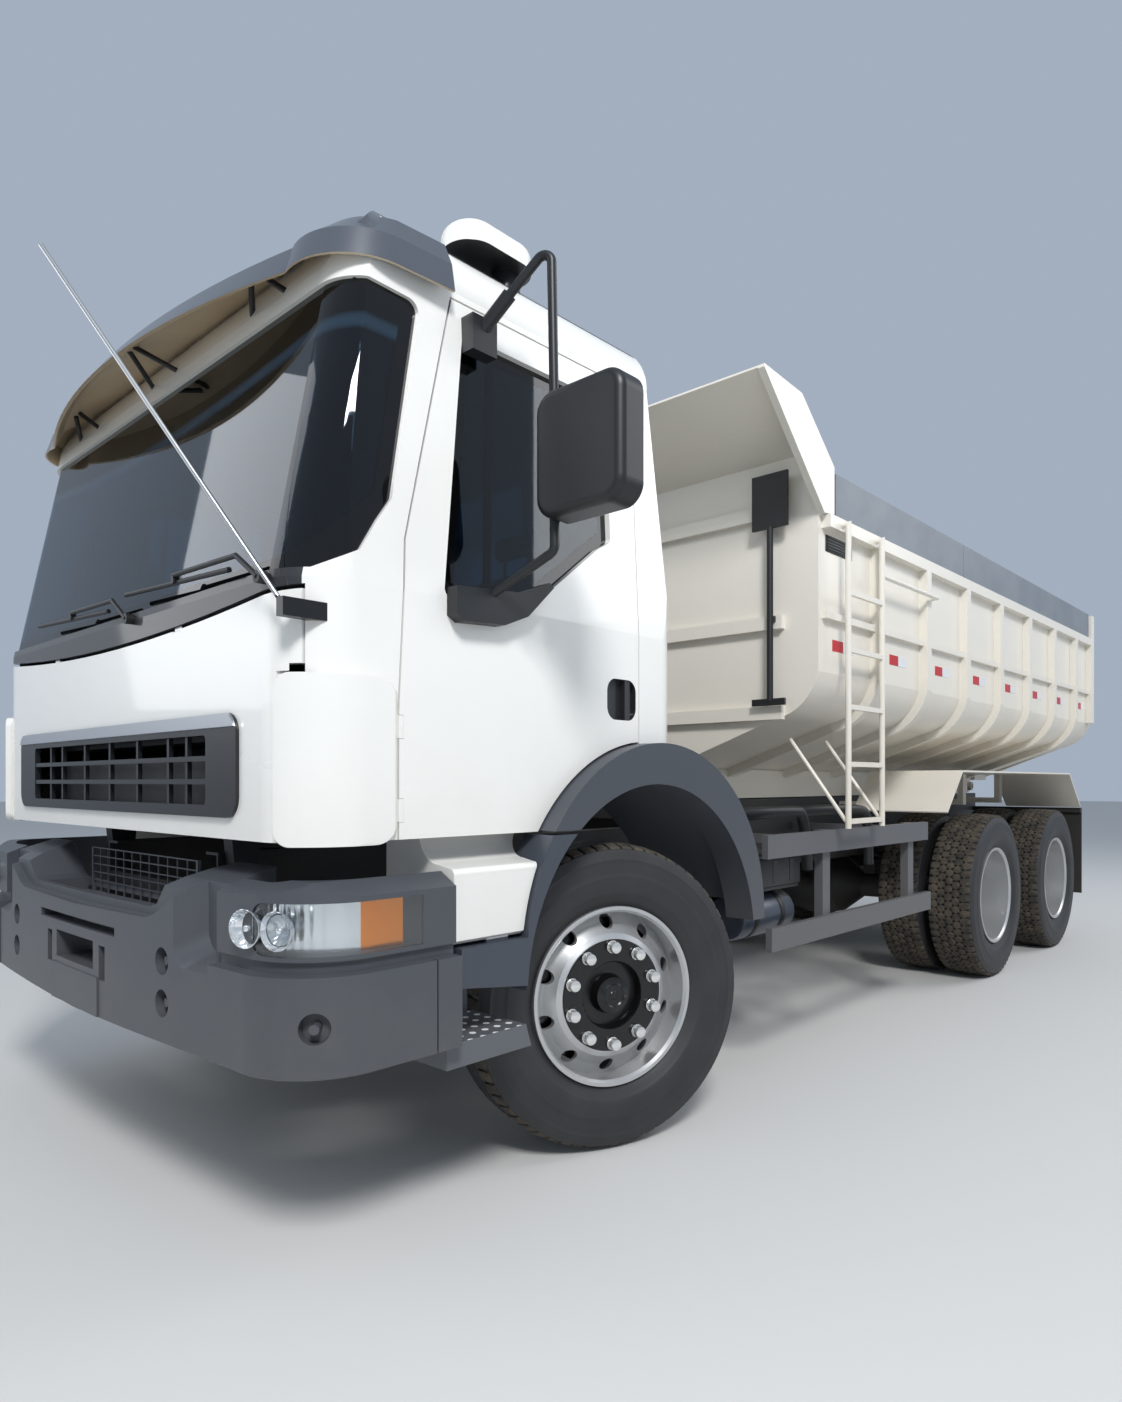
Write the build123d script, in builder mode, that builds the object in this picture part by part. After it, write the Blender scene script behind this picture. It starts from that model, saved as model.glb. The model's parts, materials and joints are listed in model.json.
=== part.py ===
from build123d import *
import math
import os

os.makedirs("parts", exist_ok=True)

# A three-axle dump truck, in millimetres. +X is the truck's left side, +Y points to its rear, +Z is up.
# Stations are measured rearwards from the front axle and heights from the ground.
# On export everything moves along Y, so that the origin is under the middle of the whole truck.

# Wheels and axles
wheel_base = 3600
bogie_spacing = 1370
front_track = 2040
rear_track = 1840
dual_spacing = 310
tyre_radius = 510
tyre_width = 275
bead_radius = 287
flange_radius = 298.5
rim_half_width = 118
rim_wall = 8
hand_holes = 10
hand_hole_radius = 24
kingpin_x = 890
steer_angle = 20  # the front wheels stand turned to the truck's right by this much
hub_bore = 45
banjo_radius = 225
running_gap = 0.3

# Ladder frame
frame_half = 430
rail_top = 1010
rail_height = 270
rail_flange = 80
rail_web = 9
frame_front = -1120
frame_rear = 5640
subframe_top = 1130
subframe_front = 1240

# Cab
cab_half = 1150
cab_front_y = -1275
cab_rear_y = 230
cab_bottom = 1075
cab_wall = 60
cab_front_corner = 170
cab_rear_corner = 90
belt_z = 1720
door_top = 2560
roof_seam = 2585
door_front = -985
door_rear = 5
door_thickness = 70
panel_gap = 6
lid_half = 1035
lid_wide = 1094
lid_bottom = 1075
lid_top = 1690
lid_crown = 48
lid_thickness = 26
door_hinge_x = 1147
door_hinge_y = -979
lid_hinge_y = -1270
lid_hinge_z = 1646
glass_thickness = 10
arch_radius = 705
arch_half = 1215
cab_pivot_y = -1150
cab_pivot_z = 780
pivot_pin = 16
arm_x = 467
arm_width = 54

# Dump body
bed_front = 1170
bed_rear = 5890
bed_half = 1215
bed_floor_half = 420
bed_floor_z = 1290
bed_knee = (1010, 1505)
bed_side_start = 1700
bed_top = 2375
skin = 8
rib_depth = 42
rib_width = 60
rib_first = 1720
rib_pitch = 597
rib_count = 7
board_top = 2570
canopy_reach = 500
canopy_low = 2650
canopy_high = 2840
bed_pivot_y = 5450
bed_pivot_z = 1190
tailgate_thickness = 50
tailgate_hinge_z = 2500

# Bumper
bumper_face = -1355
bumper_half = 860
bumper_bottom = 520
bumper_end_x = 1240
bumper_end_y = -850
lamp_bottom = 812
lamp_top = 937

# Hoist under the bed
hoist_foot = (2500, 900)
hoist_eye = (4050, 1185)
hoist_radius = 80

# The foremost and rearmost points, which put the origin under the middle
antenna_foot = (1100, -1290, 1650)
antenna_tip = (500, -1620, 2590)
rear_reach = bed_rear
origin_shift = (-antenna_tip[1] + 6 - rear_reach) / 2


def save(name, part):
    part.label = name
    export_step(part.moved(Location((0, origin_shift, 0))), f"parts/{name}.step")


def wheel_plane(x, y, side, turn=0):
    """A plane on a wheel's centre: its x points out of the truck along the axle, and its y is up."""
    out = Vector(side * math.cos(math.radians(turn)), -side * math.sin(math.radians(turn)), 0)
    centre = Vector(x, y, tyre_radius)
    return Plane(origin=centre, x_dir=out, z_dir=Vector(out.Y, -out.X, 0))


def axle_line(plane):
    return Axis(plane.origin, plane.x_dir)


def across(plane, at=0):
    """A plane square to a wheel's axle, at a distance out of the wheel's middle."""
    return Plane(plane.origin + plane.x_dir * at, x_dir=(0, 0, 1), z_dir=plane.x_dir)


def steered_plane(side):
    """The front wheel's plane, turned about its kingpin."""
    reach = front_track / 2 - kingpin_x
    out = Vector(side * math.cos(math.radians(steer_angle)), -side * math.sin(math.radians(steer_angle)), 0)
    return wheel_plane(side * kingpin_x + out.X * reach, out.Y * reach, side, steer_angle)


def block(x, y, z, mode=Mode.ADD):
    """A box between two stations along each axis."""
    with Locations(((x[0] + x[1]) / 2, (y[0] + y[1]) / 2, (z[0] + z[1]) / 2)):
        Box(abs(x[1] - x[0]), abs(y[1] - y[0]), abs(z[1] - z[0]), mode=mode)


def pipe(points, radius, bend=0, mode=Mode.ADD):
    """A round bar or tube along straight runs, with one bend radius."""
    with BuildLine() as path:
        if bend:
            FilletPolyline(*points, radius=bend)
        else:
            Polyline(*points)
    with BuildSketch(path.line ^ 0) as section:
        Circle(radius)
    sweep(section.sketch, path=path.line, transition=Transition.RIGHT, mode=mode)


# The tyre's section: tread, sidewalls and beads
tread_half = tyre_width / 2 - 34
bead_half = rim_half_width - 14
wall_radius = tyre_radius - 118
with BuildSketch() as tyre_section:
    with BuildLine():
        for s in (1, -1):
            Line((s * bead_half, bead_radius), (s * bead_half, flange_radius + 3))
            ThreePointArc(
                (s * bead_half, flange_radius + 3),
                (s * tyre_width / 2, wall_radius),
                (s * (tread_half + 20), tyre_radius - 18),
            )
            Line((s * (tread_half + 20), tyre_radius - 18), (s * tread_half, tyre_radius - 5))
        ThreePointArc((-tread_half, tyre_radius - 5), (0, tyre_radius), (tread_half, tyre_radius - 5))
        Line((-bead_half, bead_radius), (bead_half, bead_radius))
    make_face()

# The rim's barrel with its two flanges
rim_seat = bead_radius - 0.4
rim_inner = rim_seat - rim_wall
with BuildSketch() as rim_section:
    with BuildLine():
        Polyline(
            (-rim_half_width, flange_radius),
            (-rim_half_width + 12, flange_radius),
            (-rim_half_width + 12, rim_seat),
            (rim_half_width - 12, rim_seat),
            (rim_half_width - 12, flange_radius),
            (rim_half_width, flange_radius),
            (rim_half_width, rim_seat),
            (rim_half_width - 10, rim_inner),
            (-rim_half_width + 10, rim_inner),
            (-rim_half_width, rim_seat),
            close=True,
        )
    make_face()


def wheel_profile(points):
    Polygon(*points, align=None)


def front_wheel(side, name):
    plane = steered_plane(side)
    with BuildPart() as tyre:
        with BuildSketch(plane):
            add(tyre_section.sketch)
        revolve(axis=axle_line(plane))
    save(f"tyre_{name}", tyre.part)

    with BuildPart() as rim:
        with BuildSketch(plane):
            add(rim_section.sketch)
            # the pressed disc, its nut ring, and the hub with its cap
            wheel_profile(
                [
                    (14, rim_inner + 1),
                    (30, rim_inner + 1),
                    (58, 240),
                    (90, 206),
                    (98, 190),
                    (98, 115),
                    (62, 108),
                    (62, 66),
                    (100, 58),
                    (106, 40),
                    (106, 0),
                    (-60, 0),
                    (-60, 122),
                    (46, 132),
                    (84, 186),
                    (44, 236),
                ]
            )
        revolve(axis=axle_line(plane))
        # hand holes through the disc
        with BuildSketch(across(plane)):
            with PolarLocations((rim_inner + 206) / 2, hand_holes):
                Circle(hand_hole_radius)
        extrude(amount=120, mode=Mode.SUBTRACT)
        # the bore that runs on the stub axle
        with BuildSketch(across(plane, -70)):
            Circle(hub_bore + running_gap)
        extrude(amount=120, mode=Mode.SUBTRACT)
    save(f"rim_{name}", rim.part)


def rear_wheel(y, side, name):
    plane = wheel_plane(side * rear_track / 2, y, side)
    half = dual_spacing / 2
    with BuildPart() as tyres:
        for at in (-half, half):
            with BuildSketch(plane):
                with Locations((at, 0)):
                    add(tyre_section.sketch)
            revolve(axis=axle_line(plane))
    save(f"tyres_{name}", tyres.part)

    with BuildPart() as rims:
        with BuildSketch(plane):
            with Locations((half, 0), (-half, 0)):
                add(rim_section.sketch)
            for s in (1, -1):
                # each disc runs from its barrel to the bolting face in the middle
                wheel_profile(
                    [
                        (s * 60, rim_inner + 1),
                        (s * 78, rim_inner + 1),
                        (s * 44, 236),
                        (s * 15, 200),
                        (s * 15, 100),
                        (0, 100),
                        (0, 198),
                        (s * 28, 242),
                    ]
                )
            # hub, axle flange and cap
            wheel_profile(
                [(-150, 0), (-150, 118), (60, 118), (60, 86), (150, 80), (162, 60), (162, 0)]
            )
        revolve(axis=axle_line(plane))
        with BuildSketch(across(plane)):
            with PolarLocations(238, hand_holes):
                Circle(hand_hole_radius)
        extrude(amount=90, both=True, mode=Mode.SUBTRACT)
        with BuildSketch(across(plane, -150)):
            Circle(hub_bore + running_gap)
        extrude(amount=160, mode=Mode.SUBTRACT)
    save(f"rims_{name}", rims.part)


front_wheel(1, "front_left")
front_wheel(-1, "front_right")
for label, station in (("mid", wheel_base), ("rear", wheel_base + bogie_spacing)):
    rear_wheel(station, 1, f"{label}_left")
    rear_wheel(station, -1, f"{label}_right")

# Steering knuckles: two ears and a kingpin round the axle beam's end, with the stub axle
boss_height = 110
ear_gap = 5


def knuckle(side, name):
    plane = steered_plane(side)
    pin = Plane((side * kingpin_x, 0, tyre_radius), x_dir=plane.x_dir)
    reach = front_track / 2 - kingpin_x
    ear_low = boss_height / 2 + ear_gap
    with BuildPart() as part:
        for z in (ear_low, -ear_low - 24):
            with BuildSketch(pin.offset(z)):
                Circle(40)
                with Locations((30, 0)):
                    Rectangle(70, 60)
            extrude(amount=24)
        with BuildSketch(pin.offset(-ear_low - 24)):
            Circle(22)
        extrude(amount=2 * ear_low + 48)
        # the upright that joins the ears, then the stub axle
        with BuildSketch(pin.offset(-ear_low - 24)):
            with Locations((56, 0)):
                Rectangle(14, 90)
        extrude(amount=2 * ear_low + 48)
        with BuildSketch(across(plane, 56 - reach)):
            Circle(hub_bore)
        extrude(amount=reach - 56 + 44)
    save(name, part.part)


knuckle(1, "knuckle_left")
knuckle(-1, "knuckle_right")

# Axles: the dropped front beam, and two drive axle housings with their banjos
beam_drop = 95
with BuildPart() as front_axle:
    with BuildSketch(Plane.XZ.offset(-45)):
        Polygon(
            (-860, 465),
            (-860, 555),
            (-700, 530),
            (-560, tyre_radius - beam_drop + 50),
            (560, tyre_radius - beam_drop + 50),
            (700, 530),
            (860, 555),
            (860, 465),
            (690, 440),
            (570, tyre_radius - beam_drop - 50),
            (-570, tyre_radius - beam_drop - 50),
            (-690, 440),
            align=None,
        )
    extrude(amount=90)
    for side in (1, -1):
        with Locations((side * kingpin_x, 0, tyre_radius)):
            Cylinder(42, boss_height)
            Cylinder(22 + running_gap, boss_height, mode=Mode.SUBTRACT)
save("front_axle", front_axle.part)

with BuildPart() as drive_axles:
    for station in (wheel_base, wheel_base + bogie_spacing):
        with BuildSketch(Plane((0, station, tyre_radius), x_dir=(1, 0, 0), z_dir=(0, -1, 0))):
            Polygon(
                (-905, 0),
                (-905, hub_bore),
                (-760, hub_bore),
                (-760, 76),
                (-330, 82),
                (-180, 195),
                (-60, banjo_radius),
                (60, banjo_radius),
                (180, 195),
                (330, 82),
                (760, 76),
                (760, hub_bore),
                (905, hub_bore),
                (905, 0),
                align=None,
            )
        revolve(axis=Axis((0, station, tyre_radius), (1, 0, 0)))
save("drive_axles", drive_axles.part)

# Ladder frame: two channels, round cross tubes and the front bumper brackets
with BuildPart() as frame:
    for side in (1, -1):
        web = (side * (frame_half - rail_web), side * frame_half)
        block(web, (frame_front, frame_rear), (rail_top - rail_height, rail_top))
        for z in (rail_top - rail_height, rail_top - rail_web):
            block((side * (frame_half - rail_flange), side * frame_half), (frame_front, frame_rear), (z, z + rail_web))
        block((side * 330, side * frame_half), (bumper_face + 92.3, frame_front + 40), (700, 815))
        with Locations(Location((side * (frame_half + 35), cab_pivot_y, cab_pivot_z), (0, 90, 0))):
            Cylinder(pivot_pin, 74)
    for y in (1250, 1900, 3150, 4285, 5300):
        with Locations(Location((0, y, 800), (0, 90, 0))):
            Cylinder(45, 2 * frame_half - rail_web)
    block((-frame_half, frame_half), (frame_front, frame_front + 90), (760, 900))
    # the hoist's foot beam with two lugs
    block((-frame_half, frame_half), (hoist_foot[0] - 170, hoist_foot[0] - 110), (780, 960))
    for x in (-74, 50):
        with BuildSketch(Plane.YZ.offset(x)):
            with Locations(hoist_foot):
                Circle(42)
            with Locations((hoist_foot[0] - 70, hoist_foot[1] - 10)):
                Rectangle(140, 64)
        extrude(amount=24)
    with Locations(Location((0, hoist_foot[0], hoist_foot[1]), (0, 90, 0))):
        Cylinder(25 + running_gap, 200, mode=Mode.SUBTRACT)
save("frame", frame.part)

# Subframe of the dump body, with the two rear pivot ears
with BuildPart() as subframe:
    for side in (1, -1):
        block((side * 350, side * frame_half), (subframe_front, 5560), (rail_top + running_gap, subframe_top))
        block((side * 350, side * 376), (bed_pivot_y - 60, bed_pivot_y + 60), (subframe_top - 1, bed_pivot_z + 50))
    for y in (subframe_front, 2330, 4400, 5250):
        block((-360, 360), (y, y + 70), (1030, 1110))
    with Locations(Location((0, bed_pivot_y, bed_pivot_z), (0, 90, 0))):
        Cylinder(35 + running_gap, 1200, mode=Mode.SUBTRACT)
save("subframe", subframe.part)

# Engine as one block with its gearbox, and the propeller shafts
with BuildPart() as driveline:
    block((-300, 300), (-640, 420), (640, 1170))
    block((-190, 190), (420, 1130), (540, 960))
    for side in (1, -1):
        block((side * 290, side * (frame_half - rail_web - 0.3)), (-420, -320), (780, 860))
        block((side * 290, side * (frame_half - rail_web - 0.3)), (300, 400), (780, 860))
    # the propeller shafts
    pipe([(0, 1132, 620), (0, wheel_base - banjo_radius - 2, 540)], 45)
    pipe([(0, wheel_base + banjo_radius + 0.2, 520), (0, wheel_base + bogie_spacing - banjo_radius - 0.2, 520)], 45)
save("driveline", driveline.part)

# Leaf springs, standing on the axles and hung from the rails
spring_x = 390
with BuildPart() as springs:
    for side in (1, -1):
        for y, low, span in ((0, 536, 620), (wheel_base + bogie_spacing / 2, 600, 700)):
            x0 = side * (spring_x - 38)
            x1 = side * (spring_x + 38)
            with BuildSketch(Plane.YZ.offset(min(x0, x1))):
                with BuildLine():
                    ThreePointArc((y - span, low + 110), (y, low), (y + span, low + 110))
                    Line((y + span, low + 110), (y + span, low + 130))
                    ThreePointArc((y + span, low + 130), (y, low + 80), (y - span, low + 130))
                    Line((y - span, low + 130), (y - span, low + 110))
                make_face()
            extrude(amount=76)
        # saddles on the axles
        block((side * 352, side * 428), (-55, 55), (465.3, 560))
        for station in (wheel_base, wheel_base + bogie_spacing):
            block((side * 352, side * 428), (station - 60, station + 60), (592.4, 690))
        # hangers up to the rails
        for y in (-590, 590, wheel_base + bogie_spacing / 2):
            block((side * 360, side * 425), (y - 45, y + 45), (640, rail_top - rail_height - running_gap))
save("springs", springs.part)

# Cab outline: side, front and plan views cut one another, each drawn in by the same inset


def cab_form(inset):
    with BuildPart() as form:
        with BuildSketch(Plane.YZ):
            with BuildLine():
                Polyline(
                    (cab_front_y, cab_bottom),
                    (cab_front_y, belt_z),
                    (cab_front_y + 170, 2560),
                )
                ThreePointArc((cab_front_y + 170, 2560), (cab_front_y + 250, 2700), (-760, 2800))
                ThreePointArc((-760, 2800), (-330, 2850), (20, 2825))
                Polyline(
                    (20, 2825),
                    (90, 2740),
                    (cab_rear_y - 125, roof_seam),
                    (cab_rear_y, 1343),
                    (cab_rear_y, cab_bottom),
                    (cab_front_y, cab_bottom),
                )
            make_face()
            if inset:
                offset(amount=-inset)
        extrude(amount=cab_half + 100, both=True)
        with BuildSketch(Plane.XZ):
            with BuildLine():
                for s in (1, -1):
                    Polyline((s * cab_half, cab_bottom), (s * cab_half, belt_z), (s * (cab_half - 42), roof_seam))
                    ThreePointArc(
                        (s * (cab_half - 42), roof_seam), (s * (cab_half - 65), 2690), (s * (cab_half - 200), 2765)
                    )
                    ThreePointArc((s * (cab_half - 200), 2765), (s * 500, 2828), (0, 2850))
                Line((-cab_half, cab_bottom), (cab_half, cab_bottom))
            make_face()
            if inset:
                offset(amount=-inset)
        extrude(amount=cab_half + 400, both=True, mode=Mode.INTERSECT)
        with BuildSketch(Plane.XY.offset(cab_bottom - 10)):
            with Locations((0, (cab_front_y + cab_rear_y) / 2)):
                Rectangle(2 * (cab_half - inset), cab_rear_y - cab_front_y - 2 * inset)
            fillet(sketch_corners(True), cab_front_corner - inset)
            fillet(sketch_corners(False), cab_rear_corner - inset)
        extrude(amount=2000, mode=Mode.INTERSECT)
        # above the belt the rounded front corners lean back with the screen
        with BuildPart(mode=Mode.PRIVATE) as leaning:
            with BuildSketch(Plane.XY.offset(belt_z)):
                with Locations((0, cab_front_y + inset + 1500)):
                    Rectangle(2 * (cab_half - inset), 3000)
                fillet(sketch_corners(True), cab_front_corner - inset)
            extrude(amount=1500, dir=Vector(0, 170, 2560 - belt_z).normalized())
            with BuildSketch(Plane.XY.offset(cab_bottom - 20)):
                with Locations((0, cab_front_y + inset + 1450)):
                    Rectangle(2 * cab_half + 200, 3000)
            extrude(amount=belt_z - cab_bottom + 20)
        add(leaning.part, mode=Mode.INTERSECT)
    return form.part


def sketch_corners(front):
    """The plan's two front corners or its two rear ones."""
    found = BuildSketch._get_context().vertices().group_by(Axis.Y)
    return found[0] if front else found[-1]


cab_outer = cab_form(0)
cab_inner = cab_form(cab_wall)
cab_room = cab_form(cab_wall + running_gap)
# a hair outside the panels, which trims whatever stands on them
cab_skin = cab_form(-running_gap)

# Door outline on the side, following the wheel arch, and the window in it
door_outline = [
    (door_front, cab_bottom),
    (door_front, 1400),
    (-960, 1850),
    (-778, door_top),
    (door_rear, door_top),
    (door_rear, 1350),
    (-90, 1340),
    (-430, cab_bottom),
]
window_outline = [
    (-836, 1735),
    (-742, 2478),
    (-125, 2478),
    (-125, 2010),
    (-190, 1975),
    (-560, 1700),
    (-640, 1690),
    (-790, 1700),
]
arch_centre = (66, 700)
arch_outer = 655

with BuildSketch(Plane.YZ) as door_area:
    Polygon(*door_outline, align=None)
with BuildSketch(Plane.YZ) as door_hole:
    add(door_area.sketch_local)
    offset(amount=panel_gap, kind=Kind.INTERSECTION)
with BuildSketch(Plane.YZ) as window_area:
    Polygon(*window_outline, align=None)
    fillet(window_area.vertices(), 22)
with BuildSketch(Plane.YZ) as arch_area:
    with Locations(arch_centre):
        Circle(arch_outer + running_gap)
with BuildSketch(Plane.YZ) as arch_hole:
    with Locations(arch_centre):
        Circle(arch_outer + panel_gap)

# The screen runs round the front corners, where its lower edge climbs to the door pillar
screen_base = 1742
screen_top = 2520
screen_outline = [
    (cab_front_y - 100, screen_base),
    (-1215, screen_base),
    (-1100, 1800),
    (-1046, 1886),
    (-1000, 1950),
    (-890, screen_top - 16),
    (cab_front_y - 100, screen_top),
]
with BuildSketch(Plane.YZ) as screen_area:
    Polygon(*screen_outline, align=None)
    fillet(screen_area.vertices().sort_by(Axis.X)[-2:], 30)

# The front lid narrows below the corner panels, and its top edge dips in the middle
lid_step = 1492


def lid_outline(grow):
    """The lid seen from the front, grown by a gap all round that is wider above and below."""
    half = lid_half + grow
    wide = lid_wide + grow
    step = lid_step - 1.2 * grow
    top = lid_top + 2 * grow
    bottom = lid_bottom - 3 * grow
    with BuildSketch(Plane.XZ.offset(1150)) as outline:
        with BuildLine():
            Polyline((-wide, top), (-wide, step), (-half, step), (-half, bottom), (half, bottom))
            Polyline((half, bottom), (half, step), (wide, step), (wide, top))
            ThreePointArc((wide, top), (0, top - lid_crown), (-wide, top))
        make_face()
    return outline.sketch


# Hinge pins: two for each door, hidden in its front edge, and two for the lid
hinge_levels = (1150, 1365)
lid_hinge_x = 500
door_pin = 8
lid_pin = 4.7
with BuildPart() as hinge_pins:
    for side in (1, -1):
        for z in hinge_levels:
            with Locations((side * door_hinge_x, door_hinge_y, z)):
                Cylinder(door_pin, 60)
            block((side * 1128, side * door_hinge_x), (door_front - 14, door_hinge_y), (z - 30, z + 30))
        x = side * lid_hinge_x
        with Locations(Location((x, lid_hinge_y, lid_hinge_z), (0, 90, 0))):
            Cylinder(lid_pin, 44)
        block((x - 22, x + 22), (lid_hinge_y, lid_hinge_y + 12), (lid_hinge_z, lid_hinge_z + 30))
    add(cab_outer, mode=Mode.INTERSECT)

# The raised panels on the lower front corners, cut along the corner's diagonal
panel_rise = 28
with BuildPart() as corner_panels:
    add(cab_form(-panel_rise))
    add(cab_outer, mode=Mode.SUBTRACT)
    block((lid_half + panel_gap + 3, 1300), (-1400, -900), (cab_bottom - 20, 1600), mode=Mode.INTERSECT)
    with BuildSketch(Plane(origin=(1060, -1170, 1276), x_dir=(1, 1, 0), z_dir=(1, -1, 0))):
        with Locations((53, 0)):
            RectangleRounded(276, 418, 42)
    extrude(amount=400, both=True, mode=Mode.INTERSECT)
    mirror(about=Plane.YZ)

with BuildPart() as cab_body:
    add(cab_outer)
    add(cab_inner, mode=Mode.SUBTRACT)
    block((-1300, 1300), (-1400, 400), (roof_seam, 3000), mode=Mode.SUBTRACT)
    extrude(door_hole.sketch, amount=1300, both=True, mode=Mode.SUBTRACT)
    extrude(arch_area.sketch, amount=1300, both=True, mode=Mode.SUBTRACT)
    # the windscreen's opening and the pocket of the front lid
    extrude(screen_area.sketch, amount=1300, both=True, mode=Mode.SUBTRACT)
    extrude(lid_outline(panel_gap), amount=300, mode=Mode.SUBTRACT)
    # the rear window, and the cab's open underside
    block((-520, 520), (60, 400), (1950, 2400), mode=Mode.SUBTRACT)
    under = (cab_bottom - 10, cab_bottom + cab_wall + 1)
    block((-cab_half + cab_wall, cab_half - cab_wall), (cab_front_y + cab_wall, cab_rear_y - cab_wall), under, mode=Mode.SUBTRACT)
    add(hinge_pins.part)
    add(corner_panels.part)
save("cab_body", cab_body.part)

with BuildPart() as cab_roof:
    add(cab_outer)
    add(cab_inner, mode=Mode.SUBTRACT)
    block((-1300, 1300), (-1400, 400), (roof_seam + running_gap, 3000), mode=Mode.INTERSECT)
save("cab_roof", cab_roof.part)

# The screen is a slice of the cab's own form
glass_out = cab_form(12)
glass_in = cab_form(12 + glass_thickness)
with BuildPart() as windscreen:
    add(glass_out)
    add(glass_in, mode=Mode.SUBTRACT)
    with BuildSketch(Plane.YZ) as pane:
        add(screen_area.sketch_local)
        offset(amount=-0.4)
    extrude(amount=1300, both=True, mode=Mode.INTERSECT)
with BuildPart() as cab_glass:
    add(glass_out)
    add(glass_in, mode=Mode.SUBTRACT)
    block((-519.6, 519.6), (60, 400), (1950.4, 2399.6), mode=Mode.INTERSECT)
    add(windscreen.part)
save("cab_glass", cab_glass.part)

handle_centre = (-83, 1495)
for side, name in ((1, "left"), (-1, "right")):
    reach = (side * 1060, side * 1300)
    with BuildPart() as door:
        add(cab_outer)
        add(cab_form(door_thickness), mode=Mode.SUBTRACT)
        extrude(door_area.sketch, amount=1300, both=True, mode=Mode.INTERSECT)
        block(reach, (-1400, 400), (900, 3000), mode=Mode.INTERSECT)
        extrude(window_area.sketch, amount=1300, both=True, mode=Mode.SUBTRACT)
        extrude(arch_hole.sketch, amount=1300, both=True, mode=Mode.SUBTRACT)
        # room for the hinge pins and their leaves
        for z in hinge_levels:
            with Locations((side * door_hinge_x, door_hinge_y, z)):
                Cylinder(door_pin + running_gap, 62, mode=Mode.SUBTRACT)
            block(reach, (door_front - 5, door_hinge_y), (z - 31, z + 31), mode=Mode.SUBTRACT)
        # the handle's pocket with its upright grip
        with BuildSketch(Plane.YZ.offset(side * 1126)):
            with Locations(handle_centre):
                RectangleRounded(150, 135, 42)
        extrude(amount=side * 60, mode=Mode.SUBTRACT)
        block((side * 1120, side * 1146), (handle_centre[0] + 20, handle_centre[0] + 46), (1424, 1566))
    save(f"door_{name}", door.part)

    with BuildPart() as door_glass:
        add(cab_form(20))
        add(cab_form(26), mode=Mode.SUBTRACT)
        with BuildSketch(Plane.YZ) as pane:
            add(window_area.sketch_local)
            offset(amount=-0.4)
        extrude(amount=1300, both=True, mode=Mode.INTERSECT)
        block(reach, (-1400, 400), (900, 3000), mode=Mode.INTERSECT)
    save(f"door_glass_{name}", door_glass.part)

# Cab floor with its front wall, and two cranked arms down to the tilting pivot
floor_level = cab_bottom + 175
arm_outline = [
    (-10, 30), (30, 42), (76, 74), (58, 130), (20, 470), (150, 470), (120, 140), (140, 60), (60, -20), (0, -30)
]
with BuildPart() as cab_floor:
    add(cab_form(door_thickness + 2))
    block((-cab_half, cab_half), (cab_front_y, cab_rear_y), (floor_level, floor_level + 40), mode=Mode.INTERSECT)
    block((-350, 350), (-900, 100), (floor_level + 40, floor_level + 110))
    block((-900, 900), (-1203, -1191), (cab_bottom + 10, floor_level + 40))
    for side in (1, -1):
        with BuildSketch(Plane.YZ.offset(side * arm_x - arm_width / 2)):
            Polygon(*[(cab_pivot_y + y, cab_pivot_z + z) for y, z in arm_outline], align=None)
            with Locations((cab_pivot_y, cab_pivot_z)):
                Circle(36)
        extrude(amount=arm_width)
    with Locations(Location((0, cab_pivot_y, cab_pivot_z), (0, 90, 0))):
        Cylinder(pivot_pin + running_gap, 1200, mode=Mode.SUBTRACT)
save("cab_floor", cab_floor.part)

# Dashboard, with the column and steering wheel in front of the left-hand seat
wheel_centre = Vector(520, -700, 1790)
wheel_lean = (0, 0.62, 0.78)
wheel_rim = 205
with BuildPart() as dashboard:
    with BuildSketch(Plane.YZ.offset(-1040)):
        with BuildLine():
            Polyline((-1190, 1340), (-1190, 1640), (-1100, 1690))
            ThreePointArc((-1100, 1690), (-960, 1685), (-900, 1600))
            Polyline((-900, 1600), (-980, 1340), (-1190, 1340))
        make_face()
    extrude(amount=2080)
    add(cab_room, mode=Mode.INTERSECT)
    pipe([(wheel_centre.X, -930, 1560), (wheel_centre.X, -690, 1798)], 28)
    # feet down to the cab floor
    for side in (1, -1):
        block((side * 880, side * 940), (-1180, -1110), (floor_level + 40 + running_gap, 1345))
    with BuildSketch(Plane(wheel_centre, x_dir=(1, 0, 0), z_dir=wheel_lean)):
        Circle(52)
        for angle in (0, 120, 240):
            with Locations(Rotation(0, 0, angle + 90)):
                with Locations((wheel_rim / 2, 0)):
                    Rectangle(wheel_rim - 15, 26)
    extrude(amount=14)
    with BuildSketch(Plane(wheel_centre, x_dir=(0, -0.78, 0.62), z_dir=(1, 0, 0))):
        with Locations((wheel_rim, 0)):
            Circle(15)
    revolve(axis=Axis(wheel_centre, wheel_lean))
save("dashboard", dashboard.part)

seat_width = 520
with BuildPart() as seats:
    for x in (-620, 620):
        with BuildSketch(Plane.YZ.offset(x - seat_width / 2)):
            Polygon(
                (-620, floor_level + 40.3),
                (-620, 1500),
                (-190, 1480),
                (-120, 1640),
                (-60, 2180),
                (40, 2180),
                (10, 1480),
                (-20, floor_level + 40.3),
                align=None,
            )
        extrude(amount=seat_width)
    fillet(seats.edges().filter_by(Axis.X), 30)
save("seats", seats.part)

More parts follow.
